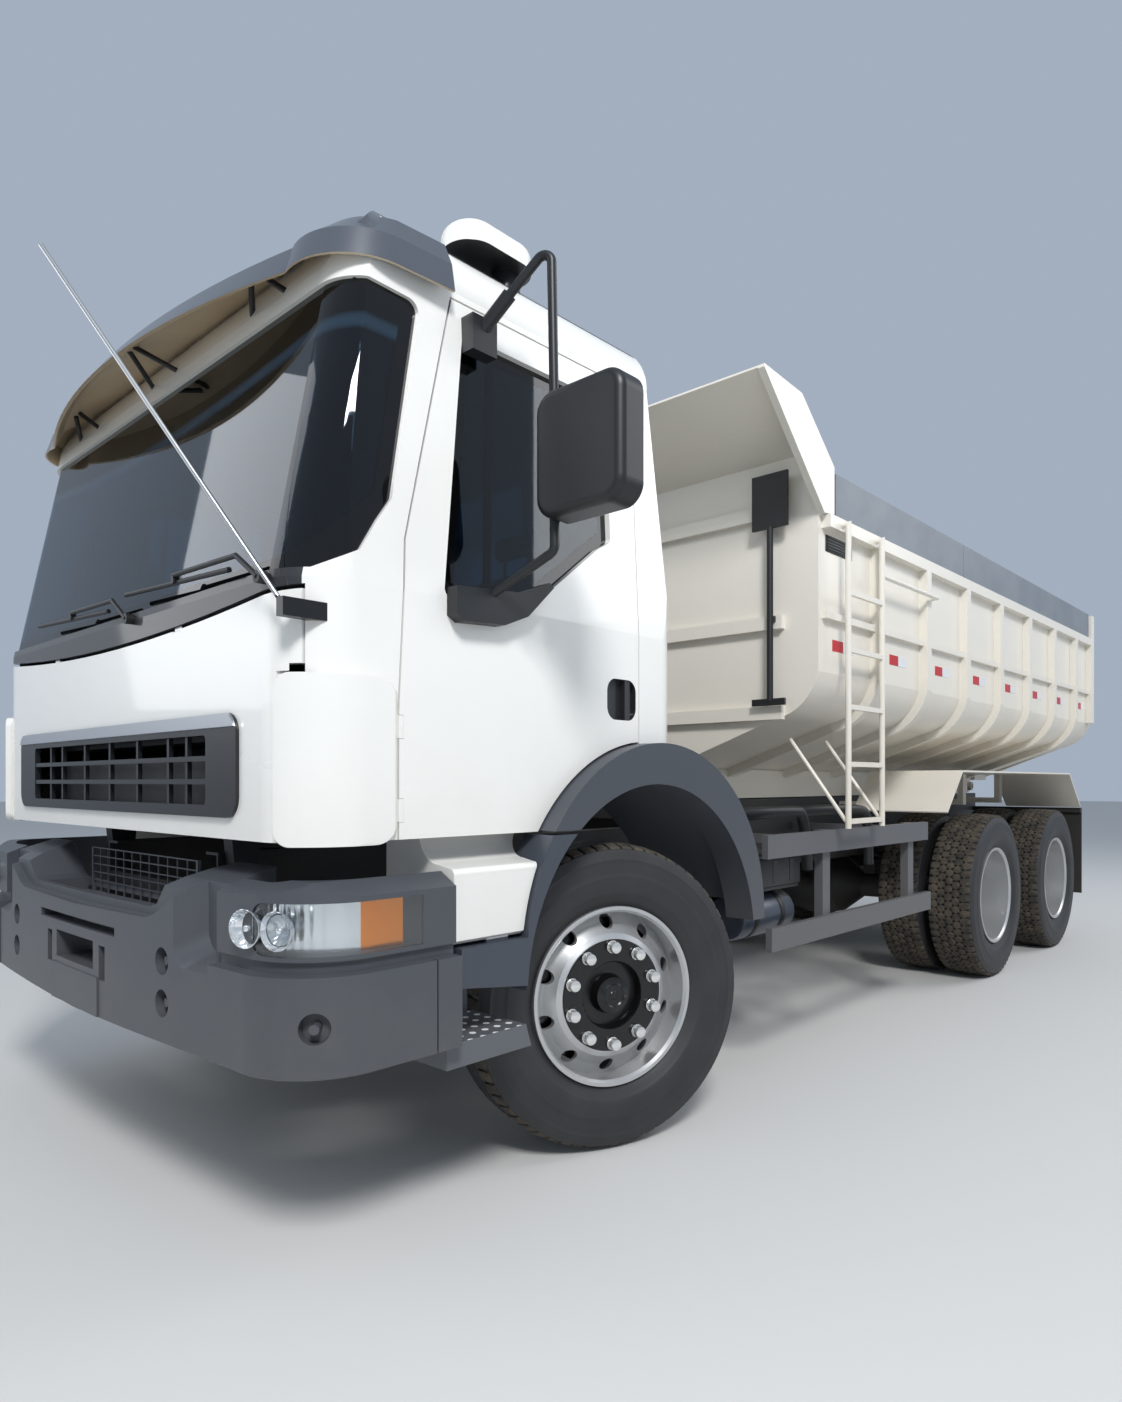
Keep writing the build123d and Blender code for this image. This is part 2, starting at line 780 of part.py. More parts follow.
# Front lid with the grille set in it
grille_half = 868
grille_low = 1130
grille_top = 1402
grille_corner = 55
grille_middle = (grille_low + grille_top) / 2
vent_half = 700
vent_low = 1162
vent_top = 1348
with BuildSketch(Plane.XZ.offset(1150)) as grille_area:
    with Locations((0, grille_middle)):
        RectangleRounded(2 * grille_half, grille_top - grille_low, grille_corner)
with BuildPart() as front_lid:
    add(cab_outer)
    add(cab_form(lid_thickness), mode=Mode.SUBTRACT)
    extrude(lid_outline(0), amount=250, mode=Mode.INTERSECT)
    extrude(grille_area.sketch, amount=250, mode=Mode.SUBTRACT)
    inner_y = cab_front_y + lid_thickness
    block((-lid_half, lid_half), (inner_y, -1100), (lid_bottom - 1, lid_bottom + 30), mode=Mode.SUBTRACT)
    # relief behind the lower edge of the wide part, which dips as the lid swings up
    for side in (1, -1):
        block((side * lid_half, side * 1150), (-1250, -1100), (lid_step - 2, lid_step + 18), mode=Mode.SUBTRACT)
    # notches that leave the hinge leaves free
    for x in (-lid_hinge_x, lid_hinge_x):
        block((x - 25, x + 25), (-1400, -1100), (lid_hinge_z, lid_top), mode=Mode.SUBTRACT)
        with Locations(Location((x, lid_hinge_y, lid_hinge_z), (0, 90, 0))):
            Cylinder(lid_pin + running_gap, 50, mode=Mode.SUBTRACT)
save("front_lid", front_lid.part)

# The grille: a rounded frame with a raised top strip, two bars across and uprights behind them
with BuildPart() as grille:
    with BuildSketch(Plane.XZ.offset(-cab_front_y - 8)):
        with Locations((0, grille_middle)):
            RectangleRounded(2 * grille_half - 0.6, grille_top - grille_low - 0.6, grille_corner - 0.3)
        with Locations((0, (vent_low + vent_top) / 2)):
            RectangleRounded(2 * vent_half, vent_top - vent_low, 14, mode=Mode.SUBTRACT)
    extrude(amount=18)
    with BuildSketch(Plane.XZ.offset(-cab_front_y + 8)):
        with Locations((0, grille_middle)):
            RectangleRounded(2 * grille_half - 4, grille_top - grille_low - 4, grille_corner - 2)
        Rectangle(3000, 2 * (grille_top - 36), mode=Mode.SUBTRACT)
    extrude(amount=7)
    for n in (1, 2):
        z = vent_low + n * (vent_top - vent_low) / 3
        block((-vent_half - 2, vent_half + 2), (cab_front_y - 8, cab_front_y + 6), (z - 7, z + 7))
    for x in (-560, -440, -220, 0, 220, 440, 560):
        block((x - 7, x + 7), (cab_front_y + 1, cab_front_y + 14), (vent_low - 4, vent_top + 4))
save("grille", grille.part)

# Wheel arches on the cab: a flare round the opening and a liner over the tyre
leg_outline = [(-831, 676), (-831, 780), (-400, 780), (-400, 640), (-560, 640)]
leg_top = 1066


def flare(reach):
    """The flare's outline on the side, cut by a box that keeps only what is wanted of it."""
    with BuildSketch(Plane.YZ) as outline:
        with Locations(arch_centre):
            Circle(arch_outer)
        Polygon(*leg_outline, align=None)
        with BuildLine():
            ThreePointArc((-585, 640), (0, 1215), (640, 690))
            Polyline((640, 690), (900, 690), (900, -200), (-585, -200), (-585, 640))
        make_face(mode=Mode.SUBTRACT)
        Polygon(*reach, align=None, mode=Mode.INTERSECT)
    return outline.sketch


flare_inner = 1092
cab_flare = flare([(-1000, leg_top + 12), (0, leg_top + 12), (0, 600), (900, 600), (900, 1500), (-1000, 1500)])
with BuildPart() as wheel_arches:
    extrude(cab_flare, amount=arch_half, both=True)
    block((-flare_inner, flare_inner), (-2000, 2000), (0, 3000), mode=Mode.SUBTRACT)
    with BuildSketch(Plane.YZ):
        with Locations((0, tyre_radius)):
            Circle(732)
            Circle(712, mode=Mode.SUBTRACT)
        Rectangle(4000, 2 * 760, mode=Mode.SUBTRACT)
        with Locations(arch_centre):
            Circle(arch_outer, mode=Mode.INTERSECT)
    extrude(amount=1120, both=True)
    block((-680, 680), (-2000, 2000), (0, 3000), mode=Mode.SUBTRACT)
    block((-1300, 1300), (-1000, -100), (0, leg_top + 12), mode=Mode.SUBTRACT)
    # hangers up to the cab floor
    for side in (1, -1):
        block((side * 760, side * 800), (-40, 0), (1235, floor_level - running_gap))
save("wheel_arches", wheel_arches.part)

# Sun visor: a brim bent round the cab's brow, open below, with pairs of stays
brim_thickness = 7


def brim_plan(z, back, inward):
    """The brim's plan at one height, drawn back at the front and in at its sides."""
    corner = (900 - inward, -1165 + 0.5 * back)
    wrap = (1090 - inward, -1105 + 0.3 * back)
    side_front = (1142 - inward, -985 + 0.12 * back)
    rear = (1152 - inward, -800)
    with BuildSketch(Plane.XY.offset(z)) as plan:
        with BuildLine():
            ThreePointArc((-corner[0], corner[1]), (0, -1297 + back), corner)
            for s in (1, -1):
                ThreePointArc(
                    (s * corner[0], corner[1]), (s * wrap[0], wrap[1]), (s * side_front[0], side_front[1])
                )
                Line((s * side_front[0], side_front[1]), (s * rear[0], rear[1]))
            Line((-rear[0], rear[1]), rear)
        make_face()
    return plan.sketch


# height, how far back the front has come, how far in the sides have come
brim_levels = [(2556, 0, 0), (2636, 58, 14), (2702, 262, 45)]
with BuildPart() as sun_visor:
    loft(sections=[brim_plan(z, back, inward) for z, back, inward in brim_levels], ruled=True)
    t = brim_thickness
    loft(
        sections=[brim_plan(z - t, back + t, inward + t) for z, back, inward in brim_levels],
        ruled=True,
        mode=Mode.SUBTRACT,
    )
    for x in (-690, 0, 690):
        for s in (1, -1):
            pipe([(x + s * 20, -1205 + 65 * (x / 690) ** 2, 2640), (x + s * 95, -1095, 2575)], 6)
    add(cab_skin, mode=Mode.SUBTRACT)
save("sun_visor", sun_visor.part)

# Wipers at the foot of the screen, parked with their blades towards the truck's right
wiper_y = cab_front_y - 12 - running_gap
with BuildPart() as wipers:
    for x in (190, 1000):
        with Locations((x, wiper_y, 1722)):
            Cylinder(16, 24, rotation=(90, 0, 0))
        pipe([(x, wiper_y - 8, 1722), (x - 110, wiper_y - 8, 1792), (x - 470, wiper_y - 8, 1800)], 7)
        pipe([(x - 830, wiper_y, 1798), (x - 160, wiper_y, 1766)], 7)
        block((x - 478, x - 462), (wiper_y - 14, wiper_y + 4), (1776, 1804))
save("wipers", wipers.part)

with BuildPart() as antenna:
    pipe([antenna_foot, antenna_tip], 6)
    block((1101, 1131), (-1302, -1170), (1612, 1656))
    add(cab_skin, mode=Mode.SUBTRACT)
save("antenna", antenna.part)

# Kerb mirror in its rounded housing on the roof's left edge
with BuildPart() as kerb_mirror:
    with BuildSketch(Plane.XY.offset(2792)):
        with Locations((1000, -548)):
            RectangleRounded(180, 304, 88)
    extrude(amount=78)
    fillet(kerb_mirror.edges().group_by(Axis.Z)[-1], 40)
    pipe([(1000, -470, 2800), (1000, -470, 2700)], 45)
    add(cab_skin, mode=Mode.SUBTRACT)
save("kerb_mirror", kerb_mirror.part)

# Door mirrors: a rounded head between an upper and a lower arm, and a cover at the window's corner
mirror_y = -618
mirror_thickness = 92


def mirror_head(x, z, width, height, corner):
    """One mirror housing, rounded at its front, with its flat glass side to the rear."""
    with BuildPart() as head:
        with BuildSketch(Plane.XZ.offset(-mirror_y - mirror_thickness / 2)):
            with Locations((x, z)):
                RectangleRounded(width, height, corner)
        extrude(amount=mirror_thickness)
        fillet(head.edges().group_by(Axis.Y)[0], 24)
    return head.part


for side, name in ((1, "left"), (-1, "right")):
    with BuildPart() as door_mirror:
        # upper arm from its bracket on the window frame, over and down into the head
        pipe(
            [
                (side * 1135, -700, 2480),
                (side * 1225, -665, 2575),
                (side * 1339, mirror_y, 2692),
                (side * 1351, mirror_y, 2200),
            ],
            13,
            24,
        )
        pipe([(side * 1135, -700, 2480), (side * 1225, -665, 2575)], 20)
        with Locations((side * 1132, -700, 2470)):
            Box(60, 90, 100)
        # lower arm from the cover up into the head
        pipe([(side * 1165, -700, 1735), (side * 1351, mirror_y, 1850), (side * 1351, mirror_y, 1960)], 13, 24)
        add(mirror_head(side * 1468, 2100, 305, 340, 58))
        # the cover, standing off the door's skin
        with BuildSketch(Plane.YZ.offset(side * (cab_half + running_gap))):
            Polygon((-828, 1672), (-828, 1748), (-600, 1764), (-470, 1812), (-452, 1800), (-560, 1700), (-650, 1664), (-800, 1656), align=None)
        extrude(amount=side * 42)
        if side < 0:
            # the wide-angle head below the main one
            add(mirror_head(-1472, 1790, 296, 236, 44))
        add(cab_skin, mode=Mode.SUBTRACT)
    save(f"mirror_{name}", door_mirror.part)

# Bumper, middle part: a bowed face with shoulders, and a step tray let in behind its lip
bumper_bow = 25
bumper_back = bumper_face + 92
tray_floor = 835
with BuildPart() as bumper:
    with BuildSketch(Plane.XY.offset(bumper_bottom)):
        with BuildLine():
            ThreePointArc((-bumper_half, bumper_face), (0, bumper_face - bumper_bow), (bumper_half, bumper_face))
            Polyline((bumper_half, bumper_face), (bumper_half, bumper_back), (-bumper_half, bumper_back), (-bumper_half, bumper_face))
        make_face()
    extrude(amount=500)
    with BuildSketch(Plane.XZ):
        with BuildLine():
            for s in (1, -1):
                Polyline((s * bumper_half, bumper_bottom + 14), (s * bumper_half, 905), (s * 760, 925), (s * 690, 925), (s * 600, 880))
                Spline((s * 600, 880), (s * 500, 853), tangents=((-s * 2, -1), (-s, 0)))
                Line((s * 500, 853), (0, 845))
                Line((0, bumper_bottom), (s * bumper_half, bumper_bottom + 14))
        make_face()
    extrude(amount=1600, mode=Mode.INTERSECT)
    # shoulders and tray, seen from the front and then from the side
    with BuildPart() as tray:
        with BuildSketch(Plane.XZ.offset(1100)):
            with BuildLine():
                for s in (1, -1):
                    Polyline((0, 872), (s * 480, 876), (s * 520, 888), (s * 612, 985), (s * 660, 1000), (s * bumper_half, 1000))
                    Polyline((s * bumper_half, 1000), (s * bumper_half, 822), (0, 822))
            make_face()
        extrude(amount=300)
        with BuildSketch(Plane.YZ):
            Polygon((-1338, 822), (-1338, 942), (-1290, 964), (-1168, 1000), (-1168, 852), (-1192, 822), align=None)
        extrude(amount=1000, both=True, mode=Mode.INTERSECT)
        block((-470, 470), (-1316, -1172), (tray_floor, 1010), mode=Mode.SUBTRACT)
    add(tray.part)
    # the ends of the face are scooped back beside the lamps
    for s in (1, -1):
        with BuildPart(mode=Mode.PRIVATE) as scoop:
            with BuildSketch(Plane.XZ.offset(1400)):
                with Locations((s * 900, 880)):
                    RectangleRounded(480, 320, 60)
            with BuildSketch(Plane.XZ.offset(1292)):
                with Locations((s * 900, 930)):
                    RectangleRounded(330, 300, 60)
            loft()
        add(scoop.part, mode=Mode.SUBTRACT)
        # two round recesses with their bolts, and a slit beside the number plate
        for z in (746, 634):
            with Locations(Location((s * 620, bumper_face - 20, z), (90, 0, 0))):
                Cylinder(37, 80, mode=Mode.SUBTRACT)
            with Locations(Location((s * 620, bumper_face + 20, z), (90, 0, 0))):
                Cylinder(12, 40)
        block((s * 205, s * 250), (-1400, bumper_back - 20), (636, 738), mode=Mode.SUBTRACT)
    # the towing slot, the gap over the plate and the plate itself
    block((-160, 160), (-1400, -1200), (660, 745), mode=Mode.SUBTRACT)
    block((-320, 320), (-1400, bumper_face + 30), (776, 802), mode=Mode.SUBTRACT)
    block((-200, 200), (bumper_face - bumper_bow - 3, bumper_face), (bumper_bottom + 4, 640))
    # the wire mesh's frame at the back of the tray
    for x in (-420, 420):
        block((x - 6, x + 6), (-1180, -1170), (tray_floor - 2, 990))
    for n in range(5):
        z = 870 + 29 * n
        block((-420, 420), (-1178, -1174), (z, z + 4))
    for n in range(1, 12):
        x = -420 + 70 * n
        block((x - 2, x + 2), (-1178, -1174), (tray_floor - 2, 988))
save("bumper", bumper.part)

# Bumper ends: a full lower band, a recessed joint and the lamp's frame above it


def corner_plan(out, z):
    """The plan of one end, with its outer face moved out from the lamp frame's."""
    face = bumper_face + 22 - out
    side_x = bumper_end_x - 25 + out
    with BuildSketch(Plane.XY.offset(z)) as plan:
        with BuildLine():
            Line((bumper_half + 6, face), (1010, face + 8))
            ThreePointArc((1010, face + 8), (1165 + 0.7 * out, face + 82), (side_x, face + 240))
            Polyline((side_x, face + 240), (side_x, bumper_end_y), (1150, bumper_end_y), (1150, bumper_face + 250))
            ThreePointArc((1150, bumper_face + 250), (1100, bumper_face + 140), (1000, bumper_face + 92))
            Polyline((1000, bumper_face + 92), (bumper_half + 6, bumper_face + 92), (bumper_half + 6, face))
        make_face()
    return plan.sketch


lamp_plane = Plane(origin=(1020, -1150, (lamp_bottom + lamp_top) / 2), x_dir=(1, 1, 0), z_dir=(1, -1, 0))


def lamp_window(gap):
    """The lamp's outline along the corner's diagonal."""
    with BuildSketch(lamp_plane) as window:
        with Locations((105, 0)):
            RectangleRounded(448 - 2 * gap, lamp_top - lamp_bottom - 2 * gap, 34)
    return window.sketch


band_top = 770
frame_low = 800
frame_high = 985
with BuildPart() as bumper_ends:
    extrude(corner_plan(25, bumper_bottom + 14), amount=band_top - bumper_bottom - 14)
    extrude(corner_plan(-12, band_top - 1), amount=frame_low - band_top + 2)
    extrude(corner_plan(0, frame_low), amount=frame_high - frame_low)
    # the frame's top slopes down to its front and side
    with BuildSketch(Plane.YZ):
        Polygon((-1400, 900), (-1400, 1050), (-1240, 1050), (-1240, 986), (-1333, 950), align=None)
    extrude(amount=1400, mode=Mode.SUBTRACT)
    with BuildSketch(Plane.XZ.offset(700)):
        Polygon((1300, 900), (1300, 1050), (1150, 1050), (1150, 986), (1216, 950), align=None)
    extrude(amount=700, mode=Mode.SUBTRACT)
    extrude(lamp_window(0), amount=400, mode=Mode.SUBTRACT)
    block((bumper_half + running_gap, bumper_half + 20), (bumper_face + 40, bumper_face + 80), (600, 700))
    # a bolt's round recess, and the joint of the rear end plate
    with Locations(Location((1199, -1262, 652), (0, 0, 45)) * Location((0, 0, 0), (90, 0, 0))):
        Cylinder(37, 70, mode=Mode.SUBTRACT)
    with Locations(Location((1178, -1241, 652), (0, 0, 45)) * Location((0, 0, 0), (90, 0, 0))):
        Cylinder(12, 60)
    block((1224, 1300), (-934, -929), (bumper_bottom, frame_low - 30), mode=Mode.SUBTRACT)
    mirror(about=Plane.YZ)
save("bumper_ends", bumper_ends.part)

with BuildPart() as headlamps:
    extrude(corner_plan(-3, lamp_bottom - 10), amount=lamp_top - lamp_bottom + 20)
    extrude(lamp_window(0.4), amount=400, mode=Mode.INTERSECT)
    mirror(about=Plane.YZ)
save("headlamps", headlamps.part)

# Steps under the doors: an apron flaring out to a box, a plate on two brackets, and the flare's leg
step_x = 1200
leg_flare = flare([(-1000, 600), (0, 600), (0, leg_top), (-1000, leg_top)])
with BuildPart() as steps:
    with BuildSketch(Plane.XZ.offset(845)):
        with BuildLine():
            Line((900, 1068), (1052, 1068))
            ThreePointArc((1052, 1068), (1078, 1022), (1130, 1000))
            Line((1130, 1000), (1182, 992))
            ThreePointArc((1182, 992), (1196, 986), (step_x, 972))
            Polyline((step_x, 972), (step_x, 800), (1186, 790), (900, 790), (900, 1068))
        make_face()
    extrude(amount=-400)
    mirror(about=Plane.YZ)
    for side in (1, -1):
        block((side * 960, side * 1195), (-866, -500), (462, 528))
        block((side * 960, side * 980), (-835, -610), (500, 800))
        block((side * (frame_half + running_gap), side * 910), (-790, -740), (820, 880))
    extrude(arch_hole.sketch, amount=1300, both=True, mode=Mode.SUBTRACT)
    with BuildPart() as legs:
        extrude(leg_flare, amount=arch_half, both=True)
        block((-flare_inner, flare_inner), (-2000, 2000), (0, 3000), mode=Mode.SUBTRACT)
    add(legs.part)
    for side in (1, -1):
        block((side * 1100, side * 1190), (-720, -640), (770, 800))
save("steps", steps.part)

# Dump body: floor with its bearers, ribbed sides, headboard with cab guard, boards and tailgate
bed_end = bed_rear - tailgate_thickness - 5
rib_stations = [rib_first + n * rib_pitch for n in range(rib_count)]
knee_x, knee_z = bed_knee

with BuildPart() as bed_floor:
    with BuildSketch(Plane.XZ.offset(-bed_front - skin - running_gap)):
        with BuildLine():
            for s in (1, -1):
                Polyline(
                    (0, bed_floor_z),
                    (s * bed_floor_half, bed_floor_z),
                    (s * knee_x, knee_z),
                    (s * knee_x, knee_z + skin + 0.5),
                    (s * bed_floor_half, bed_floor_z + skin),
                    (0, bed_floor_z + skin),
                )
        make_face()
    extrude(amount=-(bed_end - bed_front - skin - running_gap))
    for side in (1, -1):
        x = (side * 350, side * frame_half)
        block(x, (bed_front + skin + running_gap, bed_pivot_y - 90), (subframe_top + 6, bed_floor_z))
        # shallow behind the pivot, where the body swings down past the frame's end
        block(x, (bed_pivot_y + 90, bed_end), (bed_floor_z - 50, bed_floor_z))
        # pivot ears outside the subframe's, round below
        with BuildSketch(Plane.YZ.offset(min(side * 380, side * 410))):
            with Locations((bed_pivot_y, bed_pivot_z)):
                Circle(50)
            with Locations((bed_pivot_y, (bed_pivot_z + bed_floor_z) / 2)):
                Rectangle(100, bed_floor_z - bed_pivot_z)
        extrude(amount=30)
    for y in rib_stations:
        with BuildSketch(Plane.XZ.offset(-y + rib_width / 2)):
            with BuildLine():
                for s in (1, -1):
                    Polyline(
                        (0, bed_floor_z),
                        (s * bed_floor_half, bed_floor_z),
                        (s * knee_x, knee_z),
                        (s * (knee_x + 15), knee_z - rib_depth),
                        (s * (bed_floor_half + 12), bed_floor_z - rib_depth),
                        (0, bed_floor_z - rib_depth),
                    )
            make_face()
        extrude(amount=-rib_width)
    # the hoist's two upper lugs
    for x in (-74, 50):
        block((x, x + 24), (hoist_eye[0] - 55, hoist_eye[0] + 55), (hoist_eye[1] - 45, bed_floor_z))
        # the head of the pin that the rod's eye hangs on
        with Locations(Location((x + 12 + math.copysign(10, x), hoist_eye[0], hoist_eye[1]), (0, 90, 0))):
            Cylinder(25, 36)
    with Locations(Location((0, bed_pivot_y, bed_pivot_z), (0, 90, 0))):
        Cylinder(35, 2 * frame_half + 20)
        Cylinder(22, 2 * frame_half + 40, mode=Mode.SUBTRACT)
save("bed_floor", bed_floor.part)

# One side's skin, from the knee up
with BuildSketch(Plane.XZ) as side_skin:
    with BuildLine():
        Line((knee_x + 0.3, knee_z), (knee_x + 0.3, knee_z + skin + 0.5))
        ThreePointArc((knee_x + 0.3, knee_z + skin + 0.5), (1150, 1589), (bed_half - skin, bed_side_start))
        Polyline((bed_half - skin, bed_side_start), (bed_half - skin, bed_top), (bed_half, bed_top))
        Line((bed_half, bed_top), (bed_half, bed_side_start))
        ThreePointArc((bed_half, bed_side_start), (1156, 1583), (knee_x + 0.3, knee_z))
    make_face()
with BuildSketch(Plane.XZ) as side_rib:
    with BuildLine():
        Line((knee_x + 0.3, knee_z), (knee_x + 16, knee_z - rib_depth + 0.4))
        ThreePointArc((knee_x + 16, knee_z - rib_depth + 0.4), (1183, 1552), (bed_half + rib_depth, bed_side_start))
        Polyline(
            (bed_half + rib_depth, bed_side_start),
            (bed_half + rib_depth, bed_top - 40),
            (bed_half - 2, bed_top - 40),
            (bed_half - 2, bed_side_start),
        )
        ThreePointArc((bed_half - 2, bed_side_start), (1154, 1585), (knee_x + 0.3, knee_z))
    make_face()

with BuildPart() as bed_sides:
    with BuildSketch(Plane.XZ.offset(-bed_front - skin - running_gap)):
        add(side_skin.sketch_local)
    extrude(amount=-(bed_end - bed_front - skin - running_gap))
    for y in rib_stations:
        with BuildSketch(Plane.XZ.offset(-y + rib_width / 2)):
            add(side_rib.sketch_local)
        extrude(amount=-rib_width)
    # rails at the top and half way up, and the rear post
    block((bed_half - 2, bed_half + rib_depth), (bed_front + 30, bed_end), (bed_top - 55, bed_top))
    block((bed_half - 2, bed_half + 26), (bed_front + 30, bed_end), (1930, 1960))
    block((bed_half - 28, bed_half + rib_depth), (5750, bed_end), (bed_side_start, tailgate_hinge_z + 60))
    with Locations(Location((bed_half, 5795, tailgate_hinge_z), (0, 90, 0))):
        Cylinder(15 + running_gap, 120, mode=Mode.SUBTRACT)
    mirror(about=Plane.YZ)
save("bed_sides", bed_sides.part)


with BuildPart() as side_boards:
    for y0, y1 in ((1285, 2875), (2875, 5740)):
        block((bed_half - 4, bed_half + 24), (y0 + 2, y1 - 2), (bed_top + running_gap, board_top))
    block((bed_half - 10, bed_half - 4), (2850, 2900), (bed_top + running_gap, board_top))
    mirror(about=Plane.YZ)
save("side_boards", side_boards.part)

with BuildPart() as headboard:
    with BuildSketch(Plane.XZ.offset(-bed_front)):
        with BuildLine():
            for s in (1, -1):
                Polyline((0, bed_floor_z), (s * bed_floor_half, bed_floor_z), (s * knee_x, knee_z))
                ThreePointArc((s * knee_x, knee_z), (s * 1156, 1583), (s * bed_half, bed_side_start))
                Polyline((s * bed_half, bed_side_start), (s * bed_half, canopy_low), (0, canopy_low))
        make_face()
    extrude(amount=-skin)
    # crossways stiffeners in front
    for z in (1500, 1900, bed_top + 20):
        block((-bed_half + 160, bed_half - 160), (bed_front - 30, bed_front), (z, z + 60))
    # the guard over the cab and its side wings
    with BuildSketch(Plane.YZ.offset(-bed_half)):
        Polygon(
            (bed_front, canopy_low - 2),
            (bed_front - canopy_reach, canopy_high - skin),
            (bed_front - canopy_reach, canopy_high),
            (bed_front + skin, canopy_low + 6),
            align=None,
        )
    extrude(amount=2 * bed_half)
    for side in (1, -1):
        x0 = side * bed_half
        with BuildSketch(Plane.YZ.offset(min(x0, x0 + side * 30))):
            Polygon(
                (bed_front - 2, bed_top),
                (bed_front + 90, bed_top + 10),
                (bed_front + 90, 2590),
                (bed_front - 200, 2820),
                (bed_front - canopy_reach, canopy_high),
                (bed_front - canopy_reach, canopy_high - 12),
                align=None,
            )
        extrude(amount=30)
save("headboard", headboard.part)

with BuildPart() as ladder:
    for y in (1310, 1660):
        pipe([(1285, y, 1020), (1285, y, 2345), (bed_half + rib_depth + running_gap, y, 2345)], 13)
    for n in range(5):
        block((1276, 1294), (1310, 1660), (1040 + 250 * n, 1062 + 250 * n))
    pipe([(1285, 1672, 2180), (1285, 2342, 2180), (bed_half + rib_depth + running_gap, 2342, 2180)], 11)
save("ladder", ladder.part)

with BuildPart() as shovel:
    with Locations((1012, bed_front - 52, 2460)):
        Box(174, 14, 240)
    pipe([(1012, bed_front - 52, 2345), (1012, bed_front - 52, 1580)], 14)
    block((925, 1085), (bed_front - 60, bed_front - 44), (1560, 1590))
    for z in (1930, 2425):
        block((996, 1028), (bed_front - 52, bed_front - 30.3), (z, z + 24))
save("shovel", shovel.part)

with BuildPart() as tailgate:
    with BuildSketch(Plane.XZ.offset(-(bed_rear - tailgate_thickness))):
        with BuildLine():
            for s in (1, -1):
                Polyline((0, bed_floor_z - 20), (s * bed_floor_half, bed_floor_z - 20), (s * knee_x, knee_z))
                ThreePointArc((s * knee_x, knee_z), (s * 1156, 1583), (s * bed_half, bed_side_start))
                Polyline((s * bed_half, bed_side_start), (s * bed_half, bed_top), (0, bed_top))
        make_face()
    extrude(amount=-tailgate_thickness)
    for side in (1, -1):
        x0 = side * (bed_half - 36)
        with BuildSketch(Plane.YZ.offset(min(x0, x0 - side * 20))):
            Polygon(
                (bed_rear, bed_top - 60),
                (bed_rear - tailgate_thickness, bed_top - 60),
                (5765, tailgate_hinge_z - 20),
                (5765, tailgate_hinge_z + 30),
                (5825, tailgate_hinge_z + 30),
                (bed_rear, bed_top),
                align=None,
            )
        extrude(amount=20)
        with Locations(Location((side * (bed_half - 8), 5795, tailgate_hinge_z), (0, 90, 0))):
            Cylinder(15, 90)
save("tailgate", tailgate.part)

# Hoist: barrel on the frame, rod up to the body
lean = math.degrees(math.atan2(hoist_eye[1] - hoist_foot[1], hoist_eye[0] - hoist_foot[0]))
hoist_length = math.dist(hoist_foot, hoist_eye)
hoist_plane = Plane((0, hoist_foot[0], hoist_foot[1]), x_dir=(1, 0, 0), z_dir=(0, hoist_eye[0] - hoist_foot[0], hoist_eye[1] - hoist_foot[1]))
barrel_end = hoist_length - 170
with BuildPart() as hoist_barrel:
    with BuildSketch(hoist_plane.offset(60)):
        Circle(hoist_radius)
    extrude(amount=barrel_end - 60)
    with BuildSketch(hoist_plane.offset(110)):
        Circle(48.3)
    extrude(amount=barrel_end, mode=Mode.SUBTRACT)
    with Locations(Location((0, hoist_foot[0], hoist_foot[1]), (0, 90, 0))):
        Cylinder(42, 96)
        Cylinder(25, 160)
    with BuildSketch(hoist_plane):
        Rectangle(90, 70)
    extrude(amount=70)
save("hoist_barrel", hoist_barrel.part)

with BuildPart() as hoist_rod:
    with BuildSketch(hoist_plane.offset(130)):
        Circle(48)
    extrude(amount=hoist_length - 130 - 30)
    with Locations(Location((0, hoist_eye[0], hoist_eye[1]), (0, 90, 0))):
        Cylinder(40, 96)
save("hoist_rod", hoist_rod.part)

# Tanks, battery box, guards and mudguards along the frame
with BuildPart() as battery_box:
    block((520, 1130), (740, 1180), (560, 930))
    block((frame_half + 0.3, 530), (900, 980), (780, 860))
save("battery_box", battery_box.part)

with BuildPart() as fuel_tank:
    with BuildSketch(Plane.XZ.offset(-1300)):
        with Locations((-840, 740)):
            RectangleRounded(560, 500, 90)
    extrude(amount=-1000)
    for y in (1450, 2050):
        block((-frame_half - 0.3, -565), (y, y + 60), (780, 860))
save("fuel_tank", fuel_tank.part)

with BuildPart() as side_guards:
    for side in (1, -1):
        x0 = side * 1175
        for y0, y1, z0, z1 in ((770, 2440, 915, 1010), (800, 2480, 540, 635)):
            block((x0, x0 + side * 28), (y0, y1), (z0, z1))
        for y in (1290, 2240):
            block((x0 - side * 40, x0), (y, y + 70), (540, 1010))
        for y in (1230, 2410):
            block((side * (frame_half + 0.3), x0), (y - 20, y + 20), (945, 985))
save("side_guards", side_guards.part)

# Rear mudguards with a steep front plate and a sloping tail, and their flaps
with BuildPart() as mudguards:
    for side in (1, -1):
        x0 = side * 700
        with BuildSketch(Plane.YZ.offset(min(x0, side * 1240))):
            Polygon(
                (2620, 1060),
                (2860, 1290),
                (5160, 1290),
                (5480, 1035),
                (5473, 1027),
                (5155, 1280),
                (2865, 1280),
                (2627, 1053),
                align=None,
            )
        extrude(amount=540)
        for y in (3000, 4285, 5100):
            block((side * (frame_half + running_gap), side * 760), (y, y + 60), (1060, 1100))
            block((side * 720, side * 760), (y, y + 60), (1060, 1281))
save("mudguards", mudguards.part)

with BuildPart() as mudflaps:
    for side in (1, -1):
        block((side * 705, side * 1235), (5530, 5542), (350, 1020))
        block((side * frame_half + side * 0.3, side * 1235), (5500, 5530), (985, 1020))
save("mudflaps", mudflaps.part)

